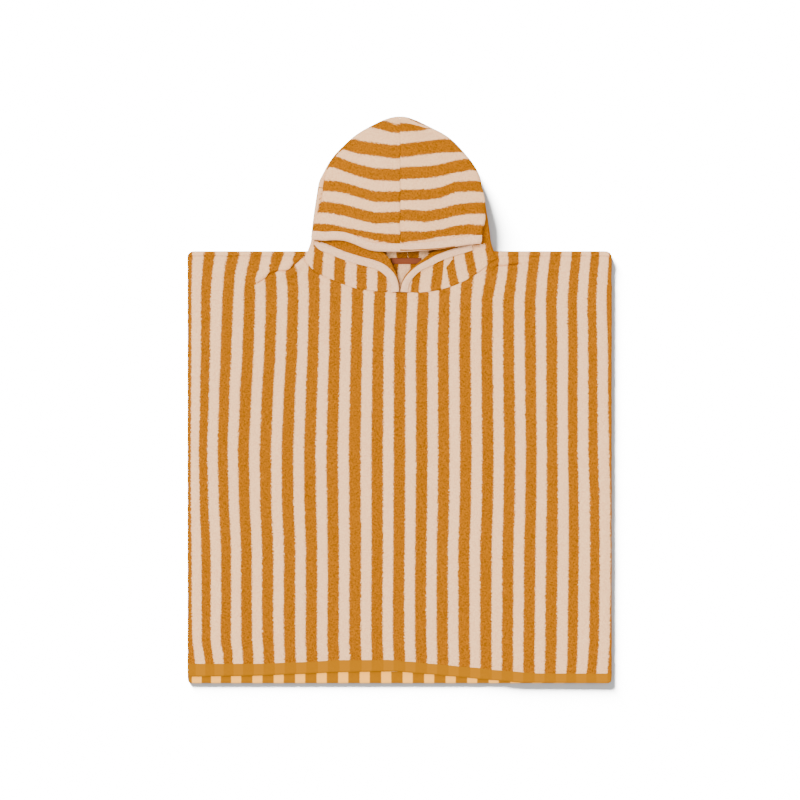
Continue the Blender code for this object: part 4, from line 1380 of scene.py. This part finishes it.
# ---------------------------------------------------------------- hood
class HoodForm:
    """Outside of one hood panel as two joined coarse grids around the face opening's corner.

    The lower grid runs from the neck seam to the lip, the upper grid from the row of the corner
    to the crown. Columns run from the nape seam outwards over the table, round the side with its
    pleat and back over the top to the centre seam.
    """

    def __init__(self, side: Side) -> None:
        """Draw the hood's outline, neck seam and lip.

        Args:
            side: Which half of the hood it is.
        """
        self.side = side
        self.sign = side.value
        self.gap = self.sign * SEAM_GAP / 2
        crown = Vector((CROWN_X, GARMENT_LENGTH / 2))
        self.outline = trace(HOOD_OUTLINE[side], HOOD_ROWS) + [crown, crown]
        self.neck = trace(NECK_SEAM[side], NECK_COLUMNS, CENTRE_CROWDING)
        self.lip = trace(LIP[side], NECK_COLUMNS - 2, CENTRE_CROWDING)

    def seam_x(self, y: float) -> float:
        """X of the centre seam in the layer on the table.

        Args:
            y: Height up the garment.

        Returns:
            The X.
        """
        crown_y = GARMENT_LENGTH / 2 - CROWN_RADIUS - CROWN_DROP
        share = min((y - NAPE_Y) / (crown_y - NAPE_Y), 1.0)
        return NAPE_SEAM_X + (CROWN_X - NAPE_SEAM_X) * share + self.gap

    def plan_normal(self, row: int) -> Vector:
        """Outward direction of the outline at a row.

        Args:
            row: Coarse row.

        Returns:
            A plan direction of length 1.
        """
        if row >= HOOD_ROWS:
            return Vector((0.0, 1.0))
        before = self.outline[max(row - 1, 0)]
        along = (self.outline[row + 1] - before).normalized()
        turn = Vector((along.y, -along.x)) * self.sign
        level = smooth_step((self.outline[row].y - TOP_START_Y) / TOP_SPAN)
        return turn.lerp(Vector((0.0, 1.0)), level).normalized()

    def pleat_at(self, row: int) -> float:
        """How much of the side's pleat is left at a row."""
        return look_up(HOOD_SIDE[self.side], "y", "pleat", self.outline[row].y) / MM

    def side_section(self, row: int) -> list[tuple[float, float]]:
        """Depth from the outline and height of each side column of a row, bottom to top.

        Args:
            row: Coarse row.

        Returns:
            Depth and height of each column.
        """
        y = self.outline[row].y
        crown = smooth_step((y - CROWN_START) / CROWN_SPAN)
        notch = look_up(HOOD_SIDE[self.side], "y", "notch", y)
        inset = look_up(HOOD_SIDE[self.side], "y", "inset", y)
        pleat = self.pleat_at(row)
        mouth = smooth_step((MOUTH_TOP - y) / MOUTH_SPAN)
        gap = PLEAT_GAP + MOUTH_GAP * mouth
        upper = UPPER_RADIUS + MOUTH_SWELL * mouth
        total = 2 * LOWER_RADIUS + gap + 2 * upper
        height = total + (2 * CROWN_RADIUS - total) * crown
        depth = ROLL_DEPTH + (CROWN_RADIUS - ROLL_DEPTH) * crown
        low = 2 * LOWER_RADIUS
        turns = [math.pi * step / ARC_COLUMNS for step in range(ARC_COLUMNS + 1)]
        folded = [(LOWER_RADIUS * (1 - math.sin(angle)), LOWER_RADIUS * (1 - math.cos(angle)))
                  for angle in turns]
        folded += [(notch - gap / 2, low), (notch, low + gap / 2), (notch - gap / 2, low + gap)]
        folded += [(inset + upper * (1 - math.sin(angle)),
                    low + gap + upper * (1 - math.cos(angle))) for angle in turns]
        section = []
        for step, (fold_depth, fold_height) in enumerate(folded):
            angle = math.pi * step / (len(folded) - 1)
            plain = (depth * (1 - math.sin(angle)), height * (1 - math.cos(angle)) / 2)
            section.append((plain[0] + (fold_depth - plain[0]) * pleat,
                            plain[1] + (fold_height - plain[1]) * pleat))
        return section

    def keep_side(self, x: float) -> float:
        """Keep a point on this half's side of the centre seam."""
        limit = CROWN_X + self.gap
        return min(x, limit) if self.side is Side.LEFT else max(x, limit)

    def upper_point(self, column: int, row: int) -> Vector:
        """A point of the upper grid, its brim raised where the cloth draws it up.

        Args:
            column: Coarse column.
            row: Coarse row.

        Returns:
            The point.
        """
        point = self.plain_point(column, row)
        share = (1 - row / BRIM_ROWS) * min((column - PLEAT_COLUMN) / ARC_COLUMNS, 1.0)
        if row < BRIM_ROWS and column > PLEAT_COLUMN:
            point.y += look_up(BRIM_RISE[self.side], "x", "y", point.x) * share
        return point

    def plain_point(self, column: int, row: int) -> Vector:
        """A point of the upper grid; its last row runs along the centre seam.

        Args:
            column: Coarse column.
            row: Coarse row.

        Returns:
            The point.
        """
        if row == HOOD_ROWS + 1:
            point = self.plain_point(column, row + 1)
            share = 0.0 if column == HOOD_COLUMNS else min(column / FLAT_COLUMNS, 1.0)
            return point + Vector((self.sign * SEAM_STRIP * share, 0.0, 0.0))
        edge = self.outline[row]
        section = self.side_section(row)
        drop = CROWN_DROP * smooth_step((row - HOOD_ROWS + 4) / 4)
        if FLAT_COLUMNS <= column <= TOP_START:
            depth, height = section[column - FLAT_COLUMNS]
            plan = edge - self.plan_normal(row) * depth
            return Vector((self.keep_side(plan.x), plan.y, height))
        if column < FLAT_COLUMNS:
            plan = edge - self.plan_normal(row) * section[0][0]
            share = column / FLAT_COLUMNS
            y = plan.y - drop * (1 - share)
            end = self.keep_side(plan.x)
            start = self.seam_x(y) if row <= HOOD_ROWS else end
            return Vector((start + (end - start) * share, y, 0.0))
        depth, side_height = section[-1]
        plan = edge - self.plan_normal(row) * depth
        share = (column - TOP_START) / TOP_COLUMNS
        end = self.keep_side(plan.x)
        span = CROWN_X + self.gap - end
        rise = min(share * TOP_COLUMNS / (TOP_COLUMNS - 1), 1.0)
        strip = max(SEAM_STRIP, abs(span) / TOP_COLUMNS) if row <= HOOD_ROWS else 0.0
        x = CROWN_X + self.gap if share == 1 else end + (span + self.sign * strip) * rise
        bow = look_up(HOOD_BOW, "y", "height", edge.y)
        rounding = smooth_step((edge.y - CROWN_START) / CROWN_SPAN)
        crown_shift = self.plan_normal(row).y * CROWN_RADIUS * rounding
        seam_y = edge.y - crown_shift - bow - drop
        ease = rise if row > HOOD_ROWS else 1 - (1 - rise) ** 2
        y = plan.y + (seam_y - plan.y) * ease
        crest = max(look_up(HOOD_CREST, "y", "height", y), side_height)
        return Vector((x, y, side_height + (crest - side_height) * math.sin(rise * math.pi / 2)))

    def neck_ring(self, column: int) -> Vector:
        """A point of the lowest row: nape seam, shoulder corner, then front neck seam.

        Args:
            column: Coarse column.

        Returns:
            The point.
        """
        nape = NAPE_Y + SEAM_GAP / 2
        corner = self.neck[0]
        if column <= FLAT_COLUMNS:
            start = NAPE_SEAM_X + self.gap
            return Vector((start + (corner.x - start) * column / FLAT_COLUMNS, nape, 0.0))
        if column < BULGE_END:
            angle = math.pi * (column - FLAT_COLUMNS) / ARC_COLUMNS
            forward = max(column - FLAT_COLUMNS - 2, 0) / (ARC_COLUMNS - 2)
            nape += 2 * SEAM_GAP * smooth_step((column - FLAT_COLUMNS + 1) / 2)
            y = nape + (corner.y + SEAM_GAP - nape) * forward ** 2
            return Vector((corner.x + self.sign * LOWER_RADIUS * math.sin(angle), y,
                           LOWER_RADIUS * (1 - math.cos(angle))))
        station = self.neck[column - BULGE_END]
        fall = smooth_step((column - BULGE_END) / 3)
        height = 2 * LOWER_RADIUS + (NECK_EDGE_TOP - 2 * LOWER_RADIUS) * fall
        return Vector((station.x, station.y + SEAM_GAP, height))

    def lip_ring(self, column: int) -> Vector:
        """A point of the lower grid's top row: the corner row, then the lip.

        Args:
            column: Coarse column.

        Returns:
            The point.
        """
        if column <= PLEAT_COLUMN:
            return self.upper_point(column, 0)
        station = self.lip[column - PLEAT_COLUMN]
        first = self.upper_point(PLEAT_COLUMN, 0)
        fade = 1 - min((column - PLEAT_COLUMN) / 3, 1.0)
        return station + (first - self.lip[0]) * fade

    def lower_point(self, column: int, row: int) -> Vector:
        """A point of the lower grid.

        Args:
            column: Coarse column.
            row: Coarse row.

        Returns:
            The point.
        """
        low = self.neck_ring(column)
        high = self.lip_ring(column)
        share = row / LIP_ROWS
        point = low.lerp(high, share)
        if FLAT_COLUMNS < column <= BULGE_END:
            around = math.sin(math.pi * (column - FLAT_COLUMNS) / ARC_COLUMNS)
            fade = 1 - smooth_step(share / BULGE_FADE)
            point.x += self.sign * NECK_BULGE[self.side] * around * fade
        if column > BULGE_END:
            level = 1 / LIP_ROWS
            rise = max(share - level, 0.0) / (1 - level)
            climb = LIP_HOLLOW * rise + (1 - LIP_HOLLOW) * rise ** 2
            point.z = low.z + (high.z - low.z) * climb
        return point


@dataclass
class HoodPanel:
    """One hood panel: the smooth cloth through its form, with stripes and small creases."""

    side: Side
    cell: float = 2.6 * MM
    side_share: float = 0.52             # the orange's part of a repeat round the side
    seam_press: tuple[float, float] = (4.0 * MM, 0.7 * MM)    # span and depth
    swell: tuple[float, float] = (30.0 * MM, 0.9 * MM)

    def __post_init__(self) -> None:
        """Work out both coarse grids and the fine steps between them."""
        self.form = HoodForm(self.side)
        self.lower = [[self.form.lower_point(column, row) for column in range(LIP_COLUMNS + 1)]
                      for row in range(LIP_ROWS + 1)]
        self.upper = [[self.form.upper_point(column, row) for column in range(HOOD_COLUMNS + 1)]
                      for row in range(HOOD_ROWS + 3)]
        upper_steps = steps_for(self.upper, self.cell)
        lower_steps = steps_for(self.lower, self.cell)
        shared = [max(a, b) for a, b in zip(upper_steps[:PLEAT_COLUMN],
                                            lower_steps[:PLEAT_COLUMN])]
        self.upper_steps = shared + upper_steps[PLEAT_COLUMN:]
        self.lower_steps = shared + lower_steps[PLEAT_COLUMN:]
        self.upper_rows = steps_for(crossed(self.upper), self.cell)
        self.lower_rows = steps_for(crossed(self.lower), self.cell)

    def across(self, grid: list[list[Vector]], steps: list[int], corner_row: int
               ) -> list[list[Vector]]:
        """Smooth lines along a grid's rows, the corner row broken at the corner.

        Args:
            grid: Coarse rows.
            steps: Fine steps of each column.
            corner_row: Row of the face opening's corner.

        Returns:
            The rows with their fine steps.
        """
        lines = []
        for row, line in enumerate(grid):
            if row == corner_row:
                start = spline(line[:PLEAT_COLUMN + 1], steps[:PLEAT_COLUMN])
                lines.append(start[:-1] + spline(line[PLEAT_COLUMN:], steps[PLEAT_COLUMN:]))
            else:
                lines.append(spline(line, steps))
        return lines

    def surfaces(self) -> tuple[list[list[Vector]], list[list[Vector]]]:
        """Fine rows of the lower and the upper grid.

        Returns:
            The two grids.
        """
        low = self.across(self.lower, self.lower_steps, LIP_ROWS)
        high = self.across(self.upper, self.upper_steps, 0)
        shared = sum(self.lower_steps[:PLEAT_COLUMN])
        low_columns = []
        for index, column in enumerate(crossed(low)):
            after = high[1][index] if index <= shared else None
            low_columns.append(spline(column, self.lower_rows, after=after))
        high_columns = []
        for index, column in enumerate(crossed(high)):
            before = low[LIP_ROWS - 1][index] if index <= shared else None
            high_columns.append(spline(column, self.upper_rows, before=before))
        return crossed(low_columns), crossed(high_columns)

    def nape_dye(self, place: Vector) -> Dye:
        """Stripes of the layer on the table.

        Args:
            place: Point of the cloth.

        Returns:
            Its dye.
        """
        out = abs(place.x - self.form.seam_x(place.y)) / MM
        inner = between_marks(out, NAPE_STRIPES.middles, NAPE_STRIPES.widths)
        return Dye(inner.stripe + 0.5, 1 - inner.share)

    def throat_dye(self, place: Vector) -> Dye:
        """Stripes below the face opening."""
        row = stripe_row(THROAT_STRIPES[self.side], place.y / MM)
        return between_marks(place.x / MM, row.middles, row.widths, THROAT_FIRST[self.side])

    def crown_dye(self, place: Vector) -> Dye:
        """Bands over the hood, whose raised cloth looks further out from an eye above.

        Args:
            place: Point of the cloth.

        Returns:
            Its dye.
        """
        out = abs(place.x) / MM
        row = stripe_row(CROWN_BANDS[self.side], out)
        seen = place.y * (1 + place.z / EYE_HEIGHT) + BAND_SHIFT
        return between_marks(seen / MM, row.middles, row.widths)

    def side_dye(self, line: list[Vector], marks: list[float], index: int, throat: Dye,
                 pleat: float) -> Dye:
        """Stripes round the side's lower bulge, from the table to the pleat.

        Args:
            line: Fine row.
            marks: Coarse column of each of its points.
            index: Point that is asked for.
            throat: Dye on top of the bulge, below the face opening.
            pleat: How much of the pleat is left in this row.

        Returns:
            The point's dye.
        """
        start = max(k for k, mark in enumerate(marks) if mark <= FLAT_COLUMNS)
        flat = self.nape_dye(line[start])
        walked = sum((line[k + 1] - line[k]).length for k in range(start, index))
        plain = flat.stripe + walked / STRIPE_PITCH
        share = min((marks[index] - FLAT_COLUMNS) / ARC_COLUMNS, 1.0)
        bulged = flat.stripe + (throat.stripe - flat.stripe) * share
        if self.side is Side.LEFT and line[index].y > CREAM_SIDE_Y:
            return Dye(math.floor(plain) + 0.5, 0.5)
        return Dye(plain + (bulged - plain) * pleat, self.side_share)

    def patches(self) -> list[Patch]:
        """The two grids with their stripes.

        Returns:
            The lower grid, then the upper one.
        """
        low, high = self.surfaces()
        low_marks = fine_marks(self.lower_steps)
        high_marks = fine_marks(self.upper_steps)
        row_marks = fine_marks(self.upper_rows)
        lower_points = []
        for line in low:
            top_index = low_marks.index(float(BULGE_END))
            throat = self.throat_dye(line[top_index])
            points = []
            for index, place in enumerate(line):
                mark = low_marks[index]
                if mark <= FLAT_COLUMNS:
                    dye = self.nape_dye(place)
                elif mark < BULGE_END:
                    dye = self.side_dye(line, low_marks, index, throat, 1.0)
                else:
                    dye = self.throat_dye(place)
                points.append(ClothPoint(off_table(place), dye))
            lower_points.append(points)
        throat = self.throat_dye(high[0][high_marks.index(float(BULGE_END))])
        upper_points = []
        for row, line in enumerate(high):
            pleat = self.form.pleat_at(min(int(row_marks[row]), HOOD_ROWS))
            normal = self.form.plan_normal(min(int(row_marks[row]), HOOD_ROWS))
            roll_end = high_marks.index(float(TOP_START))
            walked = [0.0] * len(line)
            for k in range(roll_end - 1, -1, -1):
                walked[k] = walked[k + 1] + (line[k + 1] - line[k]).length
            points = []
            for index, place in enumerate(line):
                mark = high_marks[index]
                if mark <= FLAT_COLUMNS:
                    dye = self.nape_dye(place)
                elif mark <= PLEAT_COLUMN:
                    dye = self.side_dye(line, high_marks, index, throat, pleat)
                elif mark < TOP_START:
                    over = line[roll_end] + Vector((0.0, walked[index] * normal.y, 0.0))
                    dye = self.crown_dye(over)
                    if self.on_fold(place, mark):
                        dye = Dye(float(round(dye.stripe)), dye.share)
                else:
                    dye = self.crown_dye(place)
                points.append(ClothPoint(self.settle(place, mark, row_marks[row]), dye))
            upper_points.append(points)
        return [Patch(lower_points), Patch(upper_points)]

    def on_fold(self, place: Vector, column: float) -> bool:
        """Whether a thin line of orange runs here, along the left fold's outermost line.

        Args:
            place: Point of the cloth.
            column: Its coarse column.

        Returns:
            Whether it does.
        """
        middle = UPPER_ARC_START + ARC_COLUMNS / 2
        on_line = 0 <= column - middle <= 0.5
        return self.side is Side.LEFT and on_line and FOLD_LINE[0] < place.y < FOLD_LINE[1]

    def settle(self, place: Vector, column: float, row: float) -> Vector:
        """Press the centre seam in and let the cloth lie a little uneven.

        Args:
            place: Point of the cloth.
            column: Its coarse column.
            row: Its coarse row.

        Returns:
            The point as it lies.
        """
        if column < TOP_START:
            return off_table(place)
        span, depth = self.seam_press
        seam = bell(place.x - CROWN_X, span) * depth * min(max(HOOD_ROWS - row, 0.0), 1.0)
        inside = smooth_step((column - TOP_START) / 3) * smooth_step(row / 1.5)
        swell = ruffle(place, *self.swell, 7.0 * self.side.value) * inside
        return place + Vector((0.0, 0.0, swell - seam))

    def sew(self, finishes: list[bpy.types.Material]) -> bpy.types.Object:
        """Build the panel.

        Args:
            finishes: Materials of the outer face, then those of the inner one.

        Returns:
            The piece.
        """
        cloth = ClothPiece("hood_" + self.side.word, self.patches(), TERRY, -1, finishes,
                           "striped_terry", flip=self.side is Side.RIGHT)
        piece = cloth.sew()
        return piece


# ---------------------------------------------------------------- face binding
def along_line(points: Sequence[Vector], distance: float) -> Vector:
    """Point at a distance along a broken line, or its end.

    Args:
        points: The line.
        distance: Distance from its first point.

    Returns:
        The point.
    """
    left = distance
    for a, b in zip(points, points[1:]):
        step = (b - a).length
        if left <= step:
            return a.lerp(b, left / step)
        left -= step
    return points[-1]


class Edge:
    """One station of the face opening's edge: the cloth's line from it and its directions."""

    def __init__(self, line: list[Vector], before: Vector, after: Vector, sign: int) -> None:
        """Work out the directions at the edge.

        Args:
            line: The cloth's line, in from the edge.
            before: The edge's point before this one.
            after: The edge's point after it.
            sign: 1 or -1, which turns the outward direction.
        """
        self.line = line
        self.across = (line[0] - along_line(line, 4 * MM)).normalized()
        self.out = (after - before).cross(self.across).normalized() * sign
        self.length = sum((b - a).length for a, b in zip(line, line[1:]))

    def outside(self, distance: float, lift: float) -> Vector:
        """Point over the cloth at a distance in from the edge."""
        return along_line(self.line, distance) + self.out * lift

    def around(self, angle: float, radius: float) -> Vector:
        """Point around the cloth's cut edge, angle 0 on its outside."""
        middle = self.line[0] - self.out * (TERRY / 2)
        return middle + (self.out * math.cos(angle) + self.across * math.sin(angle)) * radius


@dataclass
class Binding:
    """A run of the face binding: outer leg, roll round the cloth's edge, inner leg.

    Args:
        node: Node that it replaces.
        paths: Line across the binding at each station, its outer leg first.
        flip: Whether its normals are turned.
        peep: Run in X where the orange inside shows as a thin line in its fold.
        cell: Longest cell of its grid.
    """

    node: str
    paths: list[list[Vector]]
    flip: bool
    peep: tuple[float, float] | None = None
    cell: float = 1.0 * MM
    colour_turn: float = 4.6             # coarse place where its cream turns to orange
    turn_span: float = 0.8
    peep_mark: float = 2.2               # coarse place of the thin line at its start
    peep_turn: float = 1.1               # how far it turns towards the edge along its run
    peep_width: float = 0.45
    ruffle: tuple[float, float] = (7.0 * MM, 0.35 * MM)

    def patch(self) -> Patch:
        """The binding's grid.

        Returns:
            The outer face.
        """
        steps = steps_for(self.paths, self.cell)
        run = steps_for(crossed(self.paths), self.cell)
        lines = [spline(path, steps) for path in self.paths]
        fine = crossed([spline(line, run) for line in crossed(lines)])
        marks = fine_marks(steps)
        points = []
        for line in fine:
            row = []
            for place, mark in zip(line, marks):
                turned = (mark - self.colour_turn) / self.turn_span
                stripe = 0.5 + 0.5 * smooth_step(turned + 0.5)
                if self.peep and self.peep[0] < place.x < self.peep[1]:
                    along = (place.x - self.peep[0]) / (self.peep[1] - self.peep[0])
                    off = mark - self.peep_mark - self.peep_turn * along
                    stripe = max(stripe, 0.5 + 0.5 * bell(off, self.peep_width))
                lift = ruffle(place, *self.ruffle, 11.0)
                row.append(ClothPoint(place, Dye(stripe, 0.5), 1.0 + lift / BINDING_CLOTH))
            points.append(row)
        return Patch(points)

    def sew(self, finishes: list[bpy.types.Material], rests_on: str) -> bpy.types.Object:
        """Build the binding.

        Args:
            finishes: Materials of the outer face, then those of the inner one.
            rests_on: Not used.

        Returns:
            The piece.
        """
        cloth = ClothPiece(self.node, [self.patch()], BINDING_CLOTH, 1, finishes,
                           "binding_terry", flip=self.flip)
        piece = cloth.sew()
        return piece


def lip_binding(form: HoodForm) -> Binding:
    """The binding's run along a lower lip.

    Args:
        form: Form of the hood's half.

    Returns:
        The binding, not yet sewn.
    """
    paths = []
    for column in range(PLEAT_COLUMN, LIP_COLUMNS + 1):
        line = [form.lower_point(column, row) for row in range(LIP_ROWS, -1, -1)]
        edge = Edge(line, form.lower_point(column - 1, LIP_ROWS),
                    form.lower_point(min(column + 1, LIP_COLUMNS), LIP_ROWS), -form.sign)
        to_end = smooth_step((LIP_COLUMNS - column - 1) / 4)
        wide = min(look_up(LIP_WIDTH[form.side], "x", "y", line[0].x),
                   edge.length - BINDING_MARGIN)
        radius = TERRY / 2 + BINDING_REST
        path = [edge.outside(wide * share, BINDING_REST) for share in (1.0, 0.6, 0.25)]
        path += [edge.around(math.radians(angle), radius) for angle in (0, 45, 90)]
        level = Vector((edge.across.x, edge.across.y, 0.0)).normalized()
        tilt = LIP_TILT[form.side]
        open_leg = level * math.cos(tilt) - Vector((0, 0, 1)) * math.sin(tilt)
        down = (-edge.out).lerp(open_leg, to_end).normalized()
        length = look_up(LIP_REACH[form.side], "x", "y", line[0].x)
        if down.z < 0:
            length = min(length, max(path[-1].z - LIP_CLEARANCE, 1.0 * MM) / -down.z)
        path += [path[-1] + down * length * share for share in (0.5, 1.0)]
        paths.append(path)
    if form.side is Side.LEFT:
        tip = paths[0][4] + Vector((*LIP_TIP, 0.0))
        paths.insert(0, [tip + (point - paths[0][4]) * LIP_TIP_SIZE for point in paths[0]])
    return Binding("lip_binding_" + form.side.word, paths, form.side is Side.LEFT)


def brim_binding(left: HoodForm, right: HoodForm) -> Binding:
    """The binding's run across the brim.

    Args:
        left: Form of the left half.
        right: Form of the right half.

    Returns:
        The binding, not yet sewn.
    """
    stations = [(left, column) for column in range(TOP_START - 1, HOOD_COLUMNS + 1)]
    stations += [(right, column) for column in range(HOOD_COLUMNS - 1, TOP_START - 2, -1)]
    paths = []
    for form, column in stations:
        line = [form.upper_point(column, row) for row in range(3)]
        edge = Edge(line, form.upper_point(column - 1, 0),
                    form.upper_point(min(column + 1, HOOD_COLUMNS), 0), form.sign)
        radius = TERRY / 2 + BINDING_REST
        path = [edge.outside(BRIM_BINDING_WIDTH * share, BINDING_REST) for share in (1.0, 0.5)]
        path += [edge.around(math.radians(angle), radius) for angle in (0, 45, 90, 135, 180)]
        path += [edge.outside(BRIM_BINDING_WIDTH * share, -TERRY - BINDING_REST)
                 for share in (0.6, 1.2)]
        paths.append(path)
    return Binding("brim_binding", paths, False, BRIM_PEEP)


@dataclass
class NeckLabel:
    """Bare woven label, sewn in at the nape."""

    columns: int = 40
    rows: int = 8
    wave: float = 0.25 * MM
    cut: tuple[float, float] = (LABEL_X[1] - LABEL_X[0], 10.0 * MM)

    def patch(self) -> Patch:
        """The label's underside.

        Returns:
            A grid from its free edge to its seam.
        """
        points = []
        for row in range(self.rows + 1):
            share = row / self.rows
            line = []
            for column in range(self.columns + 1):
                x = LABEL_X[0] + (LABEL_X[1] - LABEL_X[0]) * column / self.columns
                wave = self.wave * math.sin(column / self.columns * 2 * math.pi) * (1 - share)
                lift = LABEL_CURL * (1 - share) ** 2 + max(wave, 0.0)
                y = NAPE_Y - SEAM_GAP - LABEL_DEPTH * (1 - share)
                line.append(ClothPoint(Vector((x, y, FRONT_REST + lift)), Dye(0.0, 0.5)))
            points.append(line)
        return Patch(points)

    def sew(self, finish: bpy.types.Material) -> bpy.types.Object:
        """Build the label.

        Args:
            finish: Material of both faces.

        Returns:
            The piece.
        """
        cloth = ClothPiece("neck_label", [self.patch()], LABEL_CLOTH, 1, [finish, finish],
                           "label_weave")
        piece = cloth.sew()
        return piece


# ---------------------------------------------------------------- studio
@dataclass(frozen=True)
class Studio:
    """Table, soft light and a camera straight above.

    The paper has a light of its own, so that it comes out white under the soft key.
    """

    frame_width: float = 1.1331
    centre: tuple[float, float] = (0.0006, -0.0001)
    lens: float = 150.0
    sensor: float = 36.0
    floor_size: float = 8.0
    floor_level: float = -0.2 * MM
    sky: float = 1.8
    key_energy: float = 4.4
    key_from: tuple[float, float, float] = (-0.4, 0.2, 1.0)
    key_angle: float = 25.0
    paper_energy: float = 460.0
    paper_from: tuple[float, float, float] = (-1.5, 2.6, 0.88)
    paper_angle: float = 21.0

    def floor(self) -> bpy.types.Object:
        """White paper under the garment.

        Returns:
            The floor.
        """
        bm = bmesh.new()
        bmesh.ops.create_grid(bm, x_segments=1, y_segments=1, size=self.floor_size / 2)
        for vertex in bm.verts:
            vertex.co.z = self.floor_level
        mesh = bpy.data.meshes.new("paper_floor")
        bm.to_mesh(mesh)
        bm.free()
        mesh.materials.append(Backdrop().material())
        floor = bpy.data.objects.new("paper_floor", mesh)
        floor.visible_diffuse = False
        bpy.context.scene.collection.objects.link(floor)
        return floor

    def sun(self, name: str, energy: float, source: tuple[float, float, float],
            angle: float) -> bpy.types.Object:
        """A soft light that comes from a direction.

        Args:
            name: Its name.
            energy: Its strength.
            source: Direction that it comes from.
            angle: How wide it is, in degrees.

        Returns:
            The light.
        """
        sun = bpy.data.objects.new(name, bpy.data.lights.new(name, "SUN"))
        sun.data.energy = energy
        sun.data.angle = math.radians(angle)
        sun.rotation_euler = Vector(source).to_track_quat("Z", "Y").to_euler()
        bpy.context.scene.collection.objects.link(sun)
        return sun

    def build(self) -> None:
        """Place floor, light and camera."""
        scene = bpy.context.scene
        floor = self.floor()
        key = self.sun("key_light", self.key_energy, self.key_from, self.key_angle)
        paper_light = self.sun("paper_light", self.paper_energy, self.paper_from,
                               self.paper_angle)
        for light, state in ((paper_light, "INCLUDE"), (key, "EXCLUDE")):
            linked = bpy.data.collections.new("paper_" + state.lower())
            linked.objects.link(floor)
            linked.collection_objects[0].light_linking.link_state = state
            light.light_linking.receiver_collection = linked

        world = bpy.data.worlds.new("soft_room")
        world.use_nodes = True
        background = world.node_tree.nodes["Background"]
        background.inputs["Color"].default_value = (1.0, 1.0, 1.0, 1.0)
        background.inputs["Strength"].default_value = self.sky
        scene.world = world

        camera = bpy.data.objects.new("camera", bpy.data.cameras.new("camera"))
        camera.data.lens = self.lens
        camera.data.sensor_width = self.sensor
        camera.location = (*self.centre, self.frame_width * self.lens / self.sensor)
        scene.collection.objects.link(camera)
        scene.camera = camera


def main() -> None:
    """Build every piece in order."""
    logging.basicConfig(level=logging.INFO, format="%(name)s %(message)s")
    right_face = StripedTerry("striped_terry_loops").material()
    reverse_face = StripedTerry("striped_terry_reverse", Face.REVERSE).material()
    front_hem = FlatHem("flat_woven_front_hem").material()
    back_hem = FlatHem("flat_woven_back_hem", check="F6AA40").material()
    binding = StripedTerry("binding_terry_loops", cream=("E2AC82", "F2C298"), jag=0.02).material()
    label = WovenLabel("satin_label_tape").material()

    Studio().build()
    BackPanel(BodyStripes(BACK_PULLS)).sew([right_face, back_hem, reverse_face, back_hem])
    FrontPanel(BodyStripes(FRONT_PULLS, HIDDEN_PARTS)).sew(
        [right_face, front_hem, reverse_face, front_hem])
    panels = [HoodPanel(side) for side in Side]
    for panel in panels:
        panel.sew([right_face, reverse_face])
        lip_binding(panel.form).sew([binding, binding], "hood_" + panel.side.word)
    brim_binding(panels[0].form, panels[1].form).sew([binding, binding], "hood_left")
    NeckLabel().sew(label)


if __name__ == "__main__":
    main()
